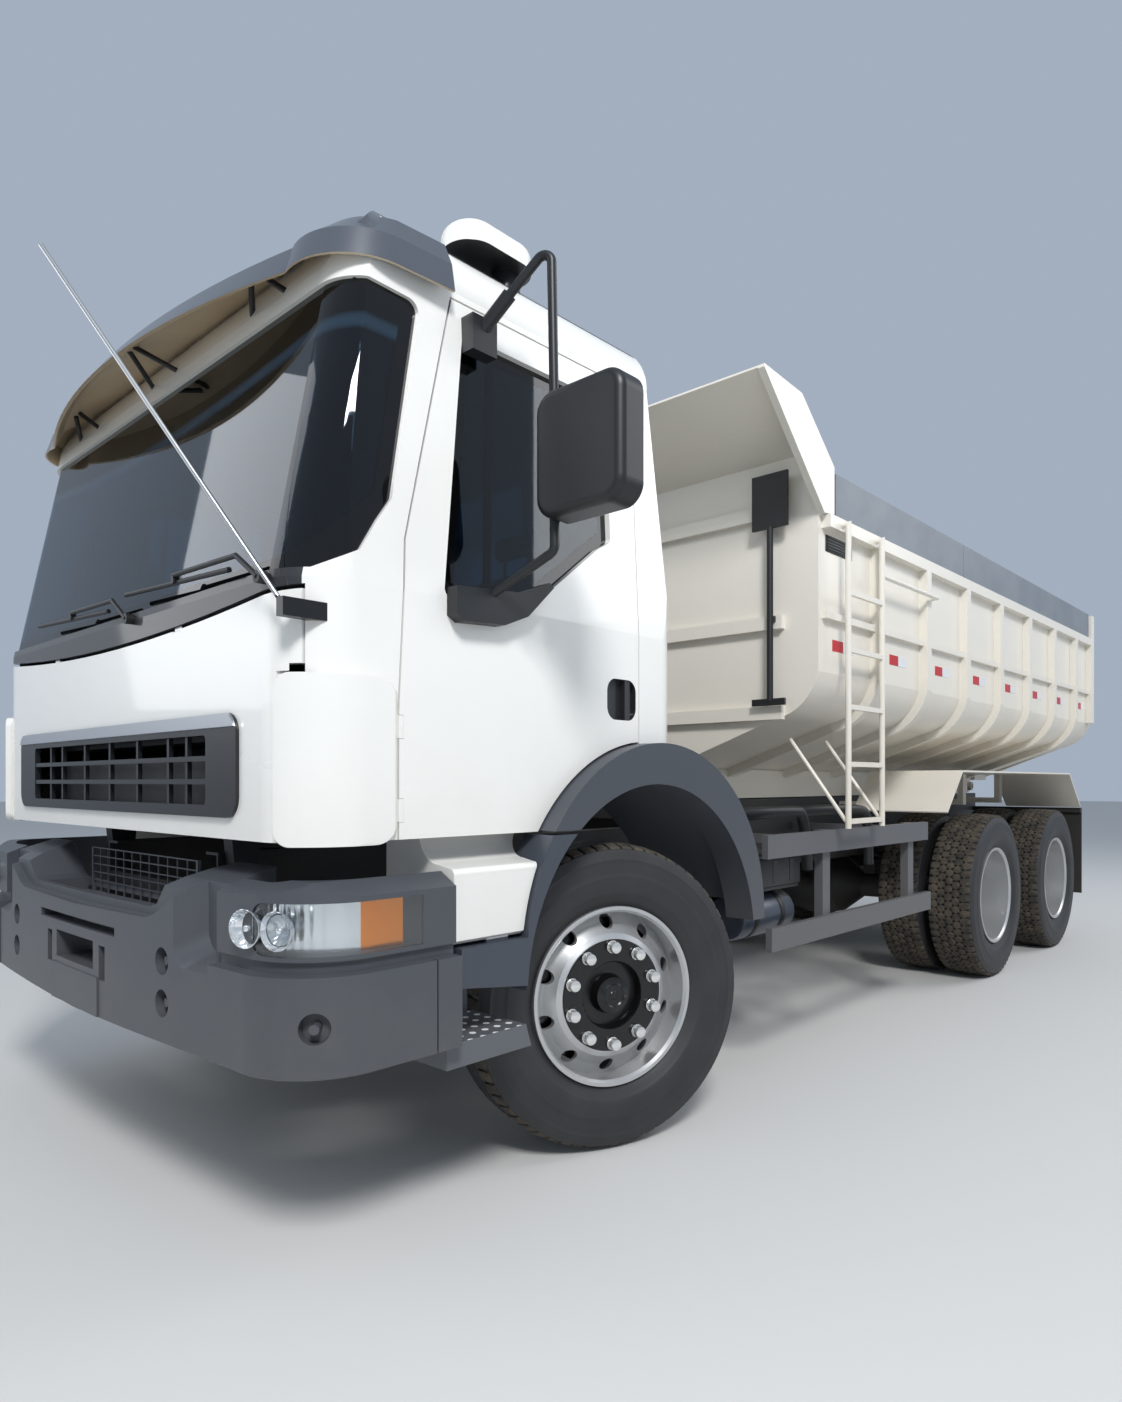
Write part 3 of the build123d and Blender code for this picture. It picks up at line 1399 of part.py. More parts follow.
with BuildPart() as tail_bar:
    block((-1150, 1150), (5640.3, 5700), (760, 860))
    block((-1150, 1150), (5640.3, 5700), (480, 580))
    for side in (1, -1):
        block((side * 380, side * 430), (5640.3, 5700), (480, 960))
save("tail_bar", tail_bar.part)

with BuildPart() as tail_lamps:
    for side in (1, -1):
        block((side * 700, side * 1140), (5700.3, 5740), (765, 855))
save("tail_lamps", tail_lamps.part)

with BuildPart() as exhaust:
    with Locations(Location((-700, 970, 700), (90, 0, 0))):
        Cylinder(130, 400)
    block((-frame_half - running_gap, -620), (940, 1000), (760, 800))
save("exhaust", exhaust.part)
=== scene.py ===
# %% [markdown]
# # A dump truck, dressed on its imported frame
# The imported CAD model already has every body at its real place, in metres, with the front facing -Y and
# +X on the truck's left. This notebook loads it, gives each piece the finish of the real one, and adds
# what a solid model leaves out: tread, nuts, lamp insides, seat padding, tape, hoses and trim.

# %% Load the frame
import json
import math
from functools import reduce

import bmesh
import bpy
from mathutils import Matrix, Vector


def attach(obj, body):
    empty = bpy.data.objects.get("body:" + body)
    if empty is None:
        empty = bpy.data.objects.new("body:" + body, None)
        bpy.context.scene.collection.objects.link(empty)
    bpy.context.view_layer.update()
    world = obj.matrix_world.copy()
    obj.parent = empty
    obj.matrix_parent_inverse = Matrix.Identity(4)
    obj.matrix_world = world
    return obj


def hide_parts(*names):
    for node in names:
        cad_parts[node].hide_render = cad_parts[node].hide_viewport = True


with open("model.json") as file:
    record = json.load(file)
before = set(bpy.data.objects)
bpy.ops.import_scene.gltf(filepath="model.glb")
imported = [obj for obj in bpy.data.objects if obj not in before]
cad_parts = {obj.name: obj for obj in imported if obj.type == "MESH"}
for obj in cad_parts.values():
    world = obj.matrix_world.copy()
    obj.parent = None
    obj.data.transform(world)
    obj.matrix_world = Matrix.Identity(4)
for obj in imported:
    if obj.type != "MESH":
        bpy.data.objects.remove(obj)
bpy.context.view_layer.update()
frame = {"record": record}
record = frame["record"]
bpy.ops.object.select_all(action="DESELECT")

# %% [markdown]
# The photograph is taken close to the truck with a wide lens held level, so verticals stay upright.
# The camera stands ahead of the front axle on the truck's left, 1.22 m above the ground. A small upward
# shift frames more sky than ground, as the photograph does, without tilting the lens.

# %% Camera
FRONT_AXLE_Y = -2.132
camera_data = bpy.data.cameras.new("camera")
camera = bpy.data.objects.new("camera", camera_data)
bpy.context.collection.objects.link(camera)
camera.location = (3.005, -2.36 + FRONT_AXLE_Y, 1.223)
camera.rotation_euler = (math.radians(90), 0, math.radians(43.1))
camera_data.sensor_fit = "AUTO"
camera_data.sensor_width = 36
camera_data.lens = 22.725
camera_data.shift_y = 0.0578
bpy.context.scene.camera = camera
print("lens", camera_data.lens, "mm, eye", camera.location.z, "m up")

# %% [markdown]
# Small helpers serve every finish below. One turns the hex colours of a paint card into the linear values
# that shaders use, one adds a node with its settings and links, and one does a step of arithmetic.

# %% Helpers for nodes
NOISE = "ShaderNodeTexNoise"
RANGE = "ShaderNodeMapRange"


def linear(code):
    """The linear colour of an sRGB hex value."""
    values = [int(code[i : i + 2], 16) / 255 for i in (1, 3, 5)]
    return [v / 12.92 if v <= 0.04045 else ((v + 0.055) / 1.055) ** 2.4 for v in values] + [1.0]


def add(tree, kind, settings=None, **links):
    """Adds a node. Settings are its properties or plain socket values; links name an input and its source."""
    node = tree.nodes.new(kind)
    for key, value in (settings or {}).items():
        if key in node.inputs:
            node.inputs[key].default_value = value
        else:
            setattr(node, key, value)
    for key, source in links.items():
        tree.links.new(source, node.inputs[key])
    return node


def finish_of(name, **settings):
    """Starts a material on one Principled shader, and returns the material, its tree and the shader."""
    material = bpy.data.materials.new(name)
    material.use_nodes = True
    tree = material.node_tree
    shader = tree.nodes["Principled BSDF"]
    for key, value in settings.items():
        shader.inputs[key.replace("_", " ")].default_value = value
    return material, tree, shader


def sums(tree, operation, *values, clamp=False):
    """One step of arithmetic on up to three values, each a socket or a plain number."""
    node = add(tree, "ShaderNodeMath", {"operation": operation, "use_clamp": clamp})
    for socket, value in zip(node.inputs, values):
        if isinstance(value, (int, float)):
            socket.default_value = value
        else:
            tree.links.new(value, socket)
    return node.outputs["Value"]


# %% [markdown]
# Many solids of the model show two finishes, such as paint outside and trim inside. A mask, 1 in a region and
# 0 elsewhere, tells them apart by a point's place on the truck or by the way that its face looks.

# %% Helpers for places and masks


def spot(tree):
    """A point of the truck as a vector in metres."""
    return add(tree, "ShaderNodeTexCoord").outputs["Object"]


def place(tree):
    """A point's distance from the truck's middle, its station behind the front axle, and its height."""
    parts = add(tree, "ShaderNodeSeparateXYZ", Vector=spot(tree)).outputs
    return sums(tree, "ABSOLUTE", parts["X"]), sums(tree, "SUBTRACT", parts["Y"], FRONT_AXLE_Y), parts["Z"]


def facing(tree):
    """How far a face looks back along the truck, up, and in towards the truck's middle, each from -1 to 1."""
    normal = add(tree, "ShaderNodeTexCoord").outputs["Normal"]
    look = add(tree, "ShaderNodeSeparateXYZ", Vector=normal).outputs
    half = sums(tree, "SIGN", add(tree, "ShaderNodeSeparateXYZ", Vector=spot(tree)).outputs["X"])
    inward = sums(tree, "MULTIPLY", sums(tree, "MULTIPLY", look["X"], half), -1.0)
    return look["Y"], look["Z"], inward


def merged(tree, operation, values):
    """Works several values into one, a step of arithmetic at a time."""
    return reduce(lambda so_far, value: sums(tree, operation, so_far, value), values)


def region(tree, *limits):
    """A mask of where every value lies between its lowest and highest limit. Either limit may be None."""
    tests = [sums(tree, "GREATER_THAN", value, low) for value, low, _ in limits if low is not None]
    tests += [sums(tree, "LESS_THAN", value, high) for value, _, high in limits if high is not None]
    return merged(tree, "MULTIPLY", tests)


def outside(tree, *limits):
    """A mask of where any value lies under its lowest or over its highest limit. Either may be None."""
    tests = [sums(tree, "LESS_THAN", value, low) for value, low, _ in limits if low is not None]
    tests += [sums(tree, "GREATER_THAN", value, high) for value, _, high in limits if high is not None]
    return merged(tree, "MAXIMUM", tests)


def slanted(tree, value, start, at_start, slope):
    """A straight line over a value: at_start where the value is start, and changing by slope."""
    return sums(tree, "MULTIPLY_ADD", sums(tree, "SUBTRACT", value, start), slope, at_start)


def bowed(tree, side, middle, rise):
    """A curve across the truck: middle at its middle, and rising with the square of the distance from it."""
    return sums(tree, "MULTIPLY_ADD", sums(tree, "MULTIPLY", side, side), rise, middle)


# %% [markdown]
# The last helpers lay a colour, a roughness or a relief on the shader, and scatter road dust, which is
# thickest near the ground.

# %% Helpers for colour, roughness and relief


def blend_colours(tree, amount, first, second):
    """Mixes two colours, each a hex value or a socket. Inputs 6 and 7 and output 2 are the colour ones."""
    node = add(tree, "ShaderNodeMix", {"data_type": "RGBA"}, Factor=amount)
    for index, value in ((6, first), (7, second)):
        if isinstance(value, str):
            node.inputs[index].default_value = linear(value)
        else:
            tree.links.new(value, node.inputs[index])
    return node.outputs[2]


def paint(tree, shader, amount, first, second):
    """Gives the shader a mix of two colours."""
    tree.links.new(blend_colours(tree, amount, first, second), shader.inputs["Base Color"])


def roughen(tree, shader, amount, least, most):
    """Takes the roughness from least to most as an amount goes from 0 to 1."""
    rough = add(tree, RANGE, {"To Min": least, "To Max": most}, Value=amount)
    tree.links.new(rough.outputs["Result"], shader.inputs["Roughness"])


def emboss(tree, shader, pattern, strength, depth):
    """Raises the surface by a pattern, depth metres high."""
    relief = add(tree, "ShaderNodeBump", {"Strength": strength, "Distance": depth}, Height=pattern)
    tree.links.new(relief.outputs["Normal"], shader.inputs["Normal"])


def grain(tree, shader, size_mm, strength, detail=3.0, depth=0.001):
    """A fine relief whose lumps are size_mm across."""
    lumps = add(tree, NOISE, {"Scale": 1000 / size_mm, "Detail": detail}, Vector=spot(tree))
    emboss(tree, shader, lumps.outputs["Fac"], strength, depth)


def dust_on(tree, low, high, most, size=0.45):
    """Road dust that thins out upwards from low to high metres, in clouds of the given size."""
    clouds = add(tree, NOISE, {"Scale": 1 / size, "Detail": 6.0, "Roughness": 0.65}, Vector=spot(tree))
    fade = add(tree, RANGE, {"From Min": high, "From Max": low, "To Max": most}, Value=place(tree)[2])
    return sums(tree, "MULTIPLY", clouds.outputs["Fac"], fade.outputs["Result"])


# %% [markdown]
# **Cab paint.** The cab is sprayed white enamel under clear lacquer: bright, smooth and sharp in its
# reflections, with a trace of orange peel and a little road dust toward the sills. The cowl under the
# windscreen, the door handles' wells and everything inside are dark moulded trim. They belong to the same
# solids as the painted skin, so the finish picks them out by their place.

# %% Where the cab is trimmed
BELT = 1.72
HEADLINING = 2.73
INNER_SIDE = 1.12
INNER_SCREEN = -1.24
INNER_REAR = 0.19
COWL_FOOT = 1.648
COWL_TOP = 1.7455


def lining(tree):
    """The inside of the cab: its room, the screen pillars' inner faces and the ceiling."""
    side, station, height = place(tree)
    along, upward, inward = facing(tree)
    # above the belt the sides lean in, the screen leans back and the rear wall leans ahead
    rise = sums(tree, "MAXIMUM", sums(tree, "SUBTRACT", height, BELT), 0.0)
    flank = sums(tree, "MULTIPLY_ADD", rise, -0.05, INNER_SIDE)
    screen = sums(tree, "MULTIPLY_ADD", rise, 0.21, INNER_SCREEN)
    rear = sums(tree, "MULTIPLY_ADD", rise, -0.105, INNER_REAR)
    room = region(tree, (side, None, flank), (station, screen, rear), (height, None, HEADLINING))
    # the pillars' inner faces are told apart by where they look
    turned_in = outside(tree, (inward, None, 0.25), (along, None, 0.4))
    pillars = region(tree, (station, None, -0.62), (height, BELT, HEADLINING))
    ceiling = region(tree, (upward, None, -0.3), (side, None, 1.03), (height, 2.62, 2.82))
    inside = merged(tree, "MAXIMUM", [room, sums(tree, "MULTIPLY", turned_in, pillars), ceiling])
    # the rounded front corners' outer skin stays painted
    skin = region(tree, (inward, None, -0.35), (along, None, -0.35))
    return sums(tree, "MULTIPLY", inside, sums(tree, "SUBTRACT", 1.0, skin, clamp=True))


def cowl(tree):
    """The strip under the screen. Its lower edge rises a little towards both ends, as the lid's top does."""
    side, station, height = place(tree)
    edge = bowed(tree, side, COWL_FOOT, 0.0401)
    return region(tree, (height, edge, COWL_TOP), (side, None, 1.094), (station, None, -1.14))


def handle_well(tree):
    """The recess behind the door handle."""
    side, station, height = place(tree)
    return region(tree, (station, -0.161, -0.005), (height, 1.4235, 1.5665), (side, None, 1.1487))


# %% [markdown]
# One function makes the enamel of all four cab solids. Each is given the masks of its own trim, which turns
# both darker and duller there.

# %% Sprayed enamel with dark trim
VISOR_GREY = "#4c515a"


def enamel(name, *trims, brow=False):
    """White enamel, with dark trim where any of the masks in trims is 1."""
    material, tree, shader = finish_of(name, IOR=1.5, Coat_Weight=0.6, Coat_Roughness=0.05)
    dust = dust_on(tree, 0.9, 1.6, 0.4)
    colour = blend_colours(tree, dust, "#ecebe6", "#b9ad9b")
    dull = dust
    if trims:
        dull = merged(tree, "MAXIMUM", [mask(tree) for mask in trims])
        colour = blend_colours(tree, dull, colour, "#1d1e21")
    tree.links.new(sums(tree, "MULTIPLY_ADD", dull, 0.3, 0.25), shader.inputs["Roughness"])
    if brow:
        # the visor's ends are fixed over the roof's front corners, which are sprayed to match
        side, station, _ = place(tree)
        corner = region(tree, (station, None, -0.99), (side, 1.02, None))
        colour = blend_colours(tree, corner, colour, VISOR_GREY)
    tree.links.new(colour, shader.inputs["Base Color"])
    grain(tree, shader, 4, 0.03)
    return material


cab_paint = enamel("sprayed_enamel_cab", lining, cowl)
roof_paint = enamel("sprayed_enamel_roof", lining, brow=True)
door_paint = enamel("sprayed_enamel_door", lining, handle_well)
lid_paint = enamel("sprayed_enamel_lid")
print("enamels", cab_paint.name, door_paint.name, lid_paint.name)

# %% [markdown]
# **Body paint.** The tipping body is sprayed with a thicker workshop enamel, warmer than the cab's white and
# less glossy. Dust settles on its ledges, and rust has begun where the load and the ladder have scraped it.
# Noise of two sizes breaks up the colour: broad clouds for the dust, and small threshold spots for the rust.

# %% Workshop enamel on the body
body_paint, tree, shader = finish_of("workshop_enamel_body", IOR=1.5, Coat_Weight=0.15, Coat_Roughness=0.2)
dust = dust_on(tree, 0.8, 2.3, 0.55, 0.7)
colour = blend_colours(tree, dust, "#e6e1d6", "#b39f86")
spots = add(tree, NOISE, {"Scale": 14.0, "Detail": 8.0, "Roughness": 0.72}, Vector=spot(tree))
rust = add(tree, RANGE, {"From Min": 0.69, "From Max": 0.75, "To Max": 0.85}, Value=spots.outputs["Fac"])
paint(tree, shader, rust.outputs["Result"], colour, "#7d4a2a")
roughen(tree, shader, dust, 0.34, 0.75)
grain(tree, shader, 60, 0.12, 2.0, 0.004)
print("body enamel", body_paint.name)

# %% [markdown]
# The load has worn the top of the floor to bare scratched steel under the same paint, so the floor gets a
# second finish: grey brown, streaked along the truck by sliding gravel.

# %% Scoured floor
FLOOR_TOP = 1.292
scoured, tree, shader = finish_of("scoured_floor_steel", Metallic=0.35, Roughness=0.5)
stretched = add(tree, "ShaderNodeMapping", {"Scale": (22.0, 1.6, 22.0)}, Vector=spot(tree)).outputs["Vector"]
streaks = add(tree, NOISE, {"Scale": 2.0, "Detail": 8.0, "Roughness": 0.7}, Vector=stretched)
rubbed = add(tree, RANGE, {"From Min": 0.3, "From Max": 0.6}, Value=streaks.outputs["Fac"])
upper = region(tree, (place(tree)[2], FLOOR_TOP, None), (facing(tree)[1], 0.2, None))
paint(tree, shader, sums(tree, "MULTIPLY", upper, rubbed.outputs["Result"]), "#dcd6ca", "#8d8274")
grain(tree, shader, 30, 0.15)
print("floor", scoured.name)

# %% [markdown]
# **Side boards.** The raised boards are sheet steel in a blue grey primer, dented by the loader's bucket.

# %% Primer on dented sheet
board_paint, tree, shader = finish_of("primed_sheet_boards", Roughness=0.48, IOR=1.5)
patches = add(tree, NOISE, {"Scale": 3.0, "Detail": 7.0, "Roughness": 0.6}, Vector=spot(tree))
paint(tree, shader, patches.outputs["Fac"], "#5f6975", "#868c92")
grain(tree, shader, 180, 0.5, 1.0, 0.012)
print("boards", board_paint.name)

# %% [markdown]
# **Bumper plastic.** The bumper, flares and arches are moulded in grey polypropylene. A mould's fine grain
# softens the highlights without hiding them, so it is a small noise relief at a medium roughness.

# %% Moulded polypropylene


def moulded(name, base, soiled, rough):
    material, tree, shader = finish_of(name, Roughness=rough, IOR=1.49)
    paint(tree, shader, dust_on(tree, 0.3, 1.2, 0.5, 0.3), base, soiled)
    # the real grain is under 1 mm, and is drawn at 2.5 mm so that it shows
    grain(tree, shader, 2.5, 0.12)
    return material


bumper_plastic = moulded("grained_polypropylene_grey", "#42464d", "#706b64", 0.42)
black_plastic = moulded("grained_polypropylene_black", "#191a1c", "#3b3833", 0.46)
print("plastics", bumper_plastic.name, black_plastic.name)

# %% [markdown]
# ** Sun visor.** The visor is smoked acrylic, grey at its rolled rim and outer face. Its underside gets a painted
# warm glow for the light that comes through it, and is told apart by its normals, which point down.

# %% Smoked acrylic
visor_acrylic, tree, shader = finish_of("smoked_acrylic_visor", Roughness=0.32, IOR=1.49, Coat_Weight=0.3)
shader.inputs["Coat Roughness"].default_value = 0.1
# painted light: faces that look down get a tan glow standing in for sun shining through the acrylic
down = region(tree, (facing(tree)[1], None, -0.25))
glow_patches = add(tree, NOISE, {"Scale": 5.0, "Detail": 4.0}, Vector=spot(tree))
under = blend_colours(tree, glow_patches.outputs["Fac"], "#b59d7c", "#d3c2a6")
paint(tree, shader, down, VISOR_GREY, under)
grain(tree, shader, 3, 0.05)
print("visor", visor_acrylic.name)

# %% [markdown]
# ** Windows.** Truck glass is tinted soda-lime, and the screen's deep blue is partly that tint and partly a
# painted reflection of the sky. Round its edge a black ceramic frit hides the glue, and a dark band across
# the top of the screen cuts the sun. Frit and band are baked into the same pane, so the glass finish turns
# opaque black there. Their edges are straight lines or bows over the pane's own place.

# %% Windscreen and window glass


def tinted_glass(name, frit_of, tint):
    material, tree, shader = finish_of(name, Roughness=0.02, IOR=1.52)
    frit = frit_of(tree)
    tree.links.new(sums(tree, "SUBTRACT", 1.0, frit, clamp=True), shader.inputs["Transmission Weight"])
    paint(tree, shader, frit, tint, "#060708")
    return material


def screen_frit(tree):
    """The screen's foot and the two lines of its leaning sides, and the sun band, lowest in the middle."""
    side, station, height = place(tree)
    pillar = slanted(tree, height, 1.95, -1.048, 0.1986)
    foot = slanted(tree, height, 1.742, -1.275, 1.034)
    frit = outside(tree, (station, None, pillar), (station, None, foot), (height, 1.775, None))
    over_bow = sums(tree, "SUBTRACT", height, bowed(tree, side, 2.30, 0.06))
    band = add(tree, RANGE, {"From Max": 0.05}, Value=over_bow).outputs["Result"]
    # the rear window is in the same node, and has neither frit nor band
    screen = region(tree, (station, None, -0.5))
    return sums(tree, "MULTIPLY", sums(tree, "MAXIMUM", frit, band), screen)


def door_frit(tree):
    """The door pane's edges, and the leaning upright between its fixed and sliding parts."""
    _, station, height = place(tree)
    front = slanted(tree, height, 1.735, -0.792, 0.1265)
    foot = slanted(tree, station, -0.56, 1.748, 0.743)
    post = slanted(tree, height, 1.735, -0.665, 0.06)
    off_post = sums(tree, "ABSOLUTE", sums(tree, "SUBTRACT", station, post))
    edges = ((station, front, -0.16), (height, 1.732, 2.438), (height, foot, None))
    return outside(tree, *edges, (off_post, 0.014, None))


# the screen's deep blue is partly tint and partly a painted reflection of the sky
screen_glass = tinted_glass("tinted_glass_screen_and_painted_sky", screen_frit, "#3f5d77")
door_glass = tinted_glass("tinted_glass_door", door_frit, "#5a7284")
print("glass", screen_glass.name, door_glass.name)

# %% [markdown]
# **Chassis paint.** Frame, axles and brackets are dipped in satin black, under a film of dried road dirt.
# The side guards are a lighter grey. The same recipe, with its own colour, gloss and share of dirt, serves
# the rubber flaps, the front hubs and the air tank, whose blue grey is dark paint with a painted reflection
# of the sky.

# %% Dipped and brushed chassis paints


def dipped(name, base, soiled, rough, most=0.7):
    material, tree, shader = finish_of(name, IOR=1.5)
    dirt = dust_on(tree, 0.2, 1.4, most, 0.25)
    paint(tree, shader, dirt, base, soiled)
    roughen(tree, shader, dirt, rough, 0.85)
    grain(tree, shader, 12, 0.15)
    return material


chassis_paint = dipped("dipped_paint_chassis", "#1b1c1e", "#57504a", 0.42)
guard_paint = dipped("brushed_paint_guards", "#55565a", "#7b746b", 0.38, 0.5)
flap_rubber = dipped("moulded_rubber_flaps", "#141414", "#4c463f", 0.7, 0.8)
hub_paint = dipped("hub_enamel_black", "#0c0c0d", "#2c2927", 0.2, 0.25)
# the air tank's bluish tone is a painted reflection of the sky on its dark grey paint
grey_paint_with_painted_sky = dipped("air_tank_paint_painted_sky_tint", "#3a4350", "#5b554e", 0.28, 0.3)
print("dipped", chassis_paint.name, guard_paint.name, flap_rubber.name, hub_paint.name, grey_paint_with_painted_sky.name)

# %% [markdown]
# **Metals.** Wheels are steel under silver lacquer, the fuel tank is rolled aluminium, and the hoist's rod,
# the aerial and the nut caps are bright. Each keeps a metal's own reflection, and differs in roughness and
# tone. The aerial stands on a moulded foot.

# %% Wheel lacquer, tank aluminium and bright steel
AERIAL_FOOT_TOP = 1.662


def metal(name, base, soiled, rough, metallic, size_mm, most=0.35):
    material, tree, shader = finish_of(name, Metallic=metallic)
    dirt = dust_on(tree, 0.0, 1.3, most, 0.15)
    paint(tree, shader, dirt, base, soiled)
    roughen(tree, shader, dirt, rough, rough + 0.35)
    grain(tree, shader, size_mm, 0.06)
    return material


wheel_lacquer = metal("silver_lacquer_wheels", "#c9cacb", "#8d8579", 0.3, 0.75, 3)
tank_metal = metal("rolled_aluminium_tank", "#a9abad", "#837c72", 0.32, 0.9, 8)
bright_steel = metal("bright_steel", "#cfcfce", "#9a958e", 0.2, 1.0, 2, 0.2)
nut_chrome = metal("chromed_nut_caps", "#e2e2e0", "#b7b0a6", 0.18, 0.7, 2, 0.15)
aerial, tree, shader = finish_of("steel_rod_and_moulded_foot", Roughness=0.3)
rod = region(tree, (place(tree)[2], AERIAL_FOOT_TOP, None))
paint(tree, shader, rod, "#17181a", "#cfcfce")
tree.links.new(rod, shader.inputs["Metallic"])
print("metals", wheel_lacquer.name, tank_metal.name, bright_steel.name, nut_chrome.name, aerial.name)

# %% [markdown]
# **Tyre rubber.** Sidewalls are smooth moulded rubber, nearly black with a grey bloom. The tread's blocks
# hold dry brown dust from unpaved ground, so they are a finish of their own.

# %% Sidewall and dusty tread
sidewall, tree, shader = finish_of("moulded_rubber_sidewall", Roughness=0.55, IOR=1.52)
bloom = add(tree, NOISE, {"Scale": 9.0, "Detail": 5.0}, Vector=spot(tree))
paint(tree, shader, bloom.outputs["Fac"], "#1c1d1f", "#303032")
grain(tree, shader, 3, 0.1)
tread_rubber, tree, shader = finish_of("dusty_tread_rubber", Roughness=0.85, IOR=1.52)
dry = add(tree, NOISE, {"Scale": 16.0, "Detail": 6.0, "Roughness": 0.7}, Vector=spot(tree))
spread = add(tree, RANGE, {"From Min": 0.35, "From Max": 0.65}, Value=dry.outputs["Fac"])
paint(tree, shader, spread.outputs["Result"], "#262523", "#554c40")
grain(tree, shader, 5, 0.35)
print("rubbers", sidewall.name, tread_rubber.name)

# %% [markdown]
# **Lamps and tape.** Lenses are clear polycarbonate over bright vacuum-coated reflectors with vertical
# flutes. The turn signal's outer part is amber, and the tail lamps are red. The red lenses and the
# reflective tape are both full of small prisms, which a cell pattern stands for: real ones are 2 to 3 mm
# across, and they are drawn at 11 mm and 6 mm so that they show.

# %% Lamp plastics and tape
AMBER_FROM = -1.118
clear_lens, tree, shader = finish_of("clear_polycarbonate_lens", Roughness=0.03, IOR=1.58)
shader.inputs["Transmission Weight"].default_value = 1.0
shader.inputs["Base Color"].default_value = linear("#f4f7f8")
reflector, tree, shader = finish_of("fluted_reflector", Roughness=0.16, Metallic=0.85)
paint(tree, shader, region(tree, (place(tree)[1], AMBER_FROM, None)), "#e9ecee", "#f08a1c")
flutes = add(tree, "ShaderNodeTexWave", {"Scale": 18.0, "bands_direction": "X"}, Vector=spot(tree))
emboss(tree, shader, flutes.outputs["Fac"], 0.5, 0.004)


def prismatic(name, cells_per_metre, first, second, **settings):
    """Plastic with a pattern of small cells."""
    material, tree, shader = finish_of(name, **settings)
    cells = add(tree, "ShaderNodeTexVoronoi", {"Scale": cells_per_metre}, Vector=spot(tree))
    paint(tree, shader, cells.outputs["Distance"], first, second)
    return material


red_look = {"Roughness": 0.12, "IOR": 1.58, "Transmission_Weight": 0.25}
tape_look = {"Roughness": 0.25, "IOR": 1.5}
red_lens = prismatic("red_lens", 90.0, "#b30f0c", "#6d0705", **red_look)
tape_red = prismatic("retroreflective_tape_red", 160.0, "#d21a17", "#a80f0d", **tape_look)
tape_white = prismatic("retroreflective_tape_white", 160.0, "#f3f3f2", "#c9cccf", **tape_look)
print("lamps", clear_lens.name, reflector.name, red_lens.name)

# %% [markdown]
# **Cloth.** The seats are covered in a dark woven cloth. Its threads are under 1 mm apart, and are drawn at
# 4 mm, so that the weave can be seen at all in a picture of a whole truck.

# %% Woven seat cloth
seat_cloth, tree, shader = finish_of("woven_seat_cloth", Roughness=0.9, IOR=1.5, Sheen_Weight=0.35)
shader.inputs["Sheen Roughness"].default_value = 0.4
warp = add(tree, "ShaderNodeTexWave", {"Scale": 80.0, "bands_direction": "X"}, Vector=spot(tree))
weft = add(tree, "ShaderNodeTexWave", {"Scale": 80.0, "bands_direction": "Y"}, Vector=spot(tree))
weave = sums(tree, "MULTIPLY", warp.outputs["Fac"], weft.outputs["Fac"])
paint(tree, shader, weave, "#17181b", "#3c3f45")
emboss(tree, shader, weave, 0.4, 0.001)
print("cloth", seat_cloth.name)

# %% [markdown]
# **Steps.** Three things meet in the step assembly: a white pressed box under the door, the grey flare's
# leg behind it, and an aluminium tread plate with round anti-slip studs. The finish tells them apart by
# height and by distance from the wheel arch's centre.

# %% Step box, leg and tread plate
ARCH_CENTRE = (0.066, 0.7)
ARCH_RADIUS = 0.657
LEG_TOP = 0.7885
PLATE_TOP = 0.531
STUD_PITCH = 0.046
step_finish, tree, shader = finish_of("step_enamel_and_plate", IOR=1.5)
side, station, height = place(tree)
off_centre = [sums(tree, "SUBTRACT", value, middle) for value, middle in zip((station, height), ARCH_CENTRE)]
flat = add(tree, "ShaderNodeCombineXYZ", X=off_centre[0], Y=off_centre[1]).outputs["Vector"]
near = add(tree, "ShaderNodeVectorMath", {"operation": "LENGTH"}, Vector=flat).outputs["Value"]
leg = outside(tree, (near, ARCH_RADIUS, None), (height, LEG_TOP, None))
rows = sums(tree, "COSINE", sums(tree, "MULTIPLY", station, math.tau / STUD_PITCH))
columns = sums(tree, "COSINE", sums(tree, "MULTIPLY", side, math.tau / STUD_PITCH))
stud = region(tree, (sums(tree, "ADD", rows, columns), 1.15, None), (facing(tree)[1], 0.7, None))
dust = dust_on(tree, 0.3, 1.2, 0.5, 0.3)
pressing = blend_colours(tree, leg, blend_colours(tree, dust, "#e6e5e0", "#a89a87"), "#3d424b")
studded = blend_colours(tree, stud, "#5a5d61", "#e8e8e6")
paint(tree, shader, region(tree, (height, None, PLATE_TOP)), pressing, studded)
roughen(tree, shader, leg, 0.28, 0.45)
grain(tree, shader, 3, 0.06)
print("steps", step_finish.name)

# %% [markdown]
# **Grille and mirrors.** The grille is black with one bright strip along its top. Each door mirror is a
# black shell whose flat rear face is glass, and the kerb mirror is a white dome on a black foot.

# %% Grille strip, mirror glass and dome
STRIP_FROM = 1.3655
STRIP_BACK = -1.2835
GLASS_FROM = -0.5725
ARM_OUTSIDE = 1.26
DOME_FROM = 2.7925
grille_finish, tree, shader = finish_of("grille_plastic_and_strip", Roughness=0.34, IOR=1.5)
_, station, height = place(tree)
strip = region(tree, (height, STRIP_FROM, None), (station, None, STRIP_BACK))
paint(tree, shader, strip, "#1e2023", "#b9bcc0")
tree.links.new(strip, shader.inputs["Metallic"])
grain(tree, shader, 2.5, 0.08)
mirror_finish, tree, shader = finish_of("mirror_shell_and_glass", IOR=1.5)
side, station, _ = place(tree)
glass_face = region(tree, (station, GLASS_FROM, None), (side, ARM_OUTSIDE, None))
paint(tree, shader, glass_face, "#1b1d20", "#dfe6ea")
tree.links.new(glass_face, shader.inputs["Metallic"])
roughen(tree, shader, glass_face, 0.42, 0.03)
